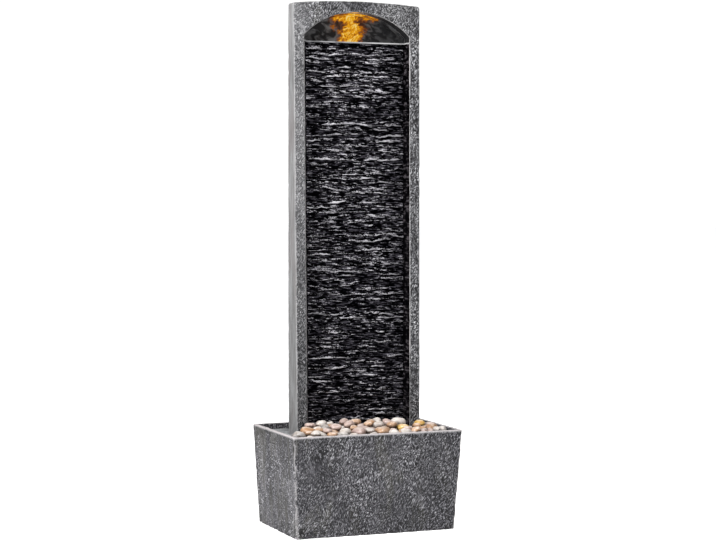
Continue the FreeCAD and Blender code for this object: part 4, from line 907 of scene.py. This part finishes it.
def pebbles(colour, material):
    node = "pebbles_" + colour
    rng = random.Random(node)
    swell = ochre_swell if colour == "ochre" else stone_swell
    bm = welded(node)
    bmesh.ops.dissolve_limit(bm, angle_limit=math.radians(1.0), verts=bm.verts, edges=bm.edges)
    bmesh.ops.subdivide_edges(bm, edges=bm.edges, cuts=1, use_grid_fill=True, smooth=0.6)
    tint = bm.verts.layers.float.new("tint")
    level = bm.verts.layers.float.new("level")
    bm.verts.index_update()
    for island in sorted(islands(bm), key=lambda island: island[0].index):
        middle = sum((v.co for v in island), Vector()) / len(island)
        shade = rng.random()
        offsets = [(v.co - middle) * swell for v in island]
        flatten(offsets, rng)
        foot = min(offset.z for offset in offsets)
        tall = max(offset.z for offset in offsets) - foot
        for vert, offset in zip(island, offsets):
            lump = 1.0 + stone_lump * wave_at(vert.co, 62, 21)
            vert[level] = (offset.z - foot) / tall
            vert[tint] = shade
            vert.co = middle + offset * lump
            vert.co.z = max(vert.co.z, deck_top)
    piece = finish_piece(bm, "stones_" + colour, "deck", material, node)
    rounding = piece.modifiers.new("rounding", "SUBSURF")
    rounding.levels = stone_smooth_levels
    rounding.render_levels = stone_smooth_levels


# The part: pieces with a mesh of their own, then the nodes that only get a finish

basin_slate = cast_slate("basin_slate", rgb(0.016, 0.015, 0.019), rgb(0.182, 0.178, 0.195),
                         rgb(0.27, 0.262, 0.268), basin_dark_band_z)
tower_slate = cast_slate("tower_slate", rgb(0.026, 0.025, 0.029), rgb(0.3, 0.299, 0.305),
                         rgb(0.26, 0.256, 0.26), tower_dark_band_z, tower_lit_left_x, over_lamp=True)
casting("basin", "basin_casting", basin_slate, mark_basin)
casting("tower_shell", "tower_casting", tower_slate, mark_tower)
water_wall(wet_slate())

# Dark and light side of each stone's colour, and its veins
stone_tones = {
    "tan": (rgb(0.24, 0.13, 0.068), rgb(0.43, 0.285, 0.185), rgb(0.33, 0.16, 0.06)),
    "pink": (rgb(0.235, 0.16, 0.138), rgb(0.39, 0.3, 0.272), rgb(0.35, 0.235, 0.178)),
    "grey": (rgb(0.13, 0.116, 0.106), rgb(0.27, 0.25, 0.24), rgb(0.3, 0.255, 0.225)),
    "white": (rgb(0.33, 0.29, 0.265), rgb(0.48, 0.45, 0.42), rgb(0.34, 0.27, 0.22)),
    "ochre": (rgb(0.31, 0.17, 0.035), rgb(0.5, 0.33, 0.07), rgb(0.37, 0.17, 0.035)),
}
for colour, tones in stone_tones.items():
    pebbles(colour, river_stone("stone_" + colour, *tones))

# Each finish and the nodes that it goes on
finishes = (
    (dark_channel(), ("wall_carrier",)),
    (weathered_cover(), ("rear_cover",)),
    (alcove_wall(), ("alcove_liner",)),
    (wet_lip(), ("weir_lip",)),
    (wet_deck(), ("pebble_tray", "service_lid")),
    (brushed_screw(), ("tower_screws", "trough_screws", "led_screws", "rear_cover_screws",
                       "hose_clamps")),
    (moulded("black_moulding", rgb(0.014, 0.014, 0.015), rgb(0.05, 0.05, 0.05), 0.42),
     ("weir_trough", "trough_fitting", "fitting_nut", "hose_saddles", "led_housing", "pump_body",
      "pump_nozzle", "pump_cover")),
    (clear_hose(), ("riser_hose",)),
    (moulded("soft_rubber", rgb(0.012, 0.012, 0.012), rgb(0.07, 0.07, 0.068), 0.62),
     ("cable_grommet", "drain_plug", "suction_cups")),
    (moulded("white_ceramic", rgb(0.74, 0.72, 0.68), rgb(0.6, 0.57, 0.52), 0.25,
             fineness=1500.0, depth=0.03 * mm), ("impeller_shaft", "shaft_bushes")),
    (moulded("dark_ferrite", rgb(0.03, 0.028, 0.028), rgb(0.06, 0.055, 0.05), 0.45),
     ("rotor_magnet",)),
    (moulded("white_moulding", rgb(0.66, 0.66, 0.63), rgb(0.5, 0.48, 0.42), 0.3),
     ("impeller", "led_board")),
    (moulded("blue_moulding", rgb(0.03, 0.1, 0.25), rgb(0.1, 0.16, 0.24), 0.35),
     ("flow_regulator",)),
    (lit_lens(), ("led_lens",)),
)
for finish, names in finishes:
    for name in names:
        slots = nodes[name].data.materials
        slots.clear()
        slots.append(finish)


# Studio

def studio_floor():
    # Pale floor that reads as white to the camera, with only soft shadows left on it
    bm = bmesh.new()
    bmesh.ops.create_grid(bm, x_segments=1, y_segments=1, size=30.0)
    mesh = bpy.data.meshes.new("studio_floor")
    bm.to_mesh(mesh)
    bm.free()
    material, tree, surface = start_material("studio_floor")
    surface.inputs["Base Color"].default_value = rgb(0.86, 0.86, 0.86)
    surface.inputs["Roughness"].default_value = 0.9
    surface.inputs["Emission Color"].default_value = rgb(1.0, 1.0, 1.0)
    seen = tree.add("ShaderNodeLightPath").outputs["Is Camera Ray"]
    tree.feed(surface.inputs["Emission Strength"], tree.times(seen, 0.75))
    mesh.materials.append(material)
    link(bpy.data.objects.new("studio_floor", mesh))


def sky():
    # White behind the object, and dimmer as a source of light
    world = bpy.data.worlds.new("studio_sky")
    world.use_nodes = True
    tree = Tree(world.node_tree)
    shade = world.node_tree.nodes["Background"]
    seen = tree.add("ShaderNodeLightPath").outputs["Is Camera Ray"]
    shade.inputs["Color"].default_value = rgb(1.0, 1.0, 1.0)
    tree.feed(shade.inputs["Strength"], tree.plus(0.3, tree.times(seen, 0.8)))
    bpy.context.scene.world = world


def place_light(lamp, place):
    holder = link(bpy.data.objects.new(lamp.name, lamp))
    holder.location = place
    holder.visible_camera = False
    return holder


def studio_light(name, place, target, size, power):
    lamp = bpy.data.lights.new(name, "AREA")
    lamp.shape = "RECTANGLE"
    lamp.size, lamp.size_y = size
    lamp.energy = power
    aim = Vector(target) - Vector(place)
    place_light(lamp, place).rotation_euler = aim.to_track_quat("-Z", "Y").to_euler()


def lamp_glow():
    # The lamp's own light on the lip, the soffit and the alcove
    lamp = bpy.data.lights.new("lamp_glow", "POINT")
    lamp.color = (1.0, 0.42, 0.06)
    lamp.energy = 0.01
    lamp.shadow_soft_size = 6.0 * mm
    middle = (lens_low + lens_high) / 2
    place_light(lamp, (middle.x, middle.y - 8.0 * mm, lens_low.z - 9.0 * mm))


def photo_camera():
    # The camera that was fitted to the photo's straight edges
    lens = bpy.data.cameras.new("photo_camera")
    lens.sensor_width = 36.0
    lens.lens = 96.79
    lens.shift_y = -0.10705
    lens.clip_end = 200.0
    camera = link(bpy.data.objects.new("photo_camera", lens))
    camera.location = (-1.34167, -3.41918, 0.63396)
    camera.rotation_euler = (math.radians(90.0), 0.0, -0.37479)
    bpy.context.scene.camera = camera


studio_floor()
sky()
studio_light("key_left", place=(-2.8, -0.9, 2.0), target=(0.0, 0.0, 0.6), size=(1.4, 1.4),
             power=165.0)
studio_light("top_front", place=(0.1, -1.5, 2.9), target=(0.0, 0.0, 0.4), size=(1.2, 1.0),
             power=95.0)
lamp_glow()
photo_camera()
bpy.context.scene.view_settings.view_transform = "Standard"
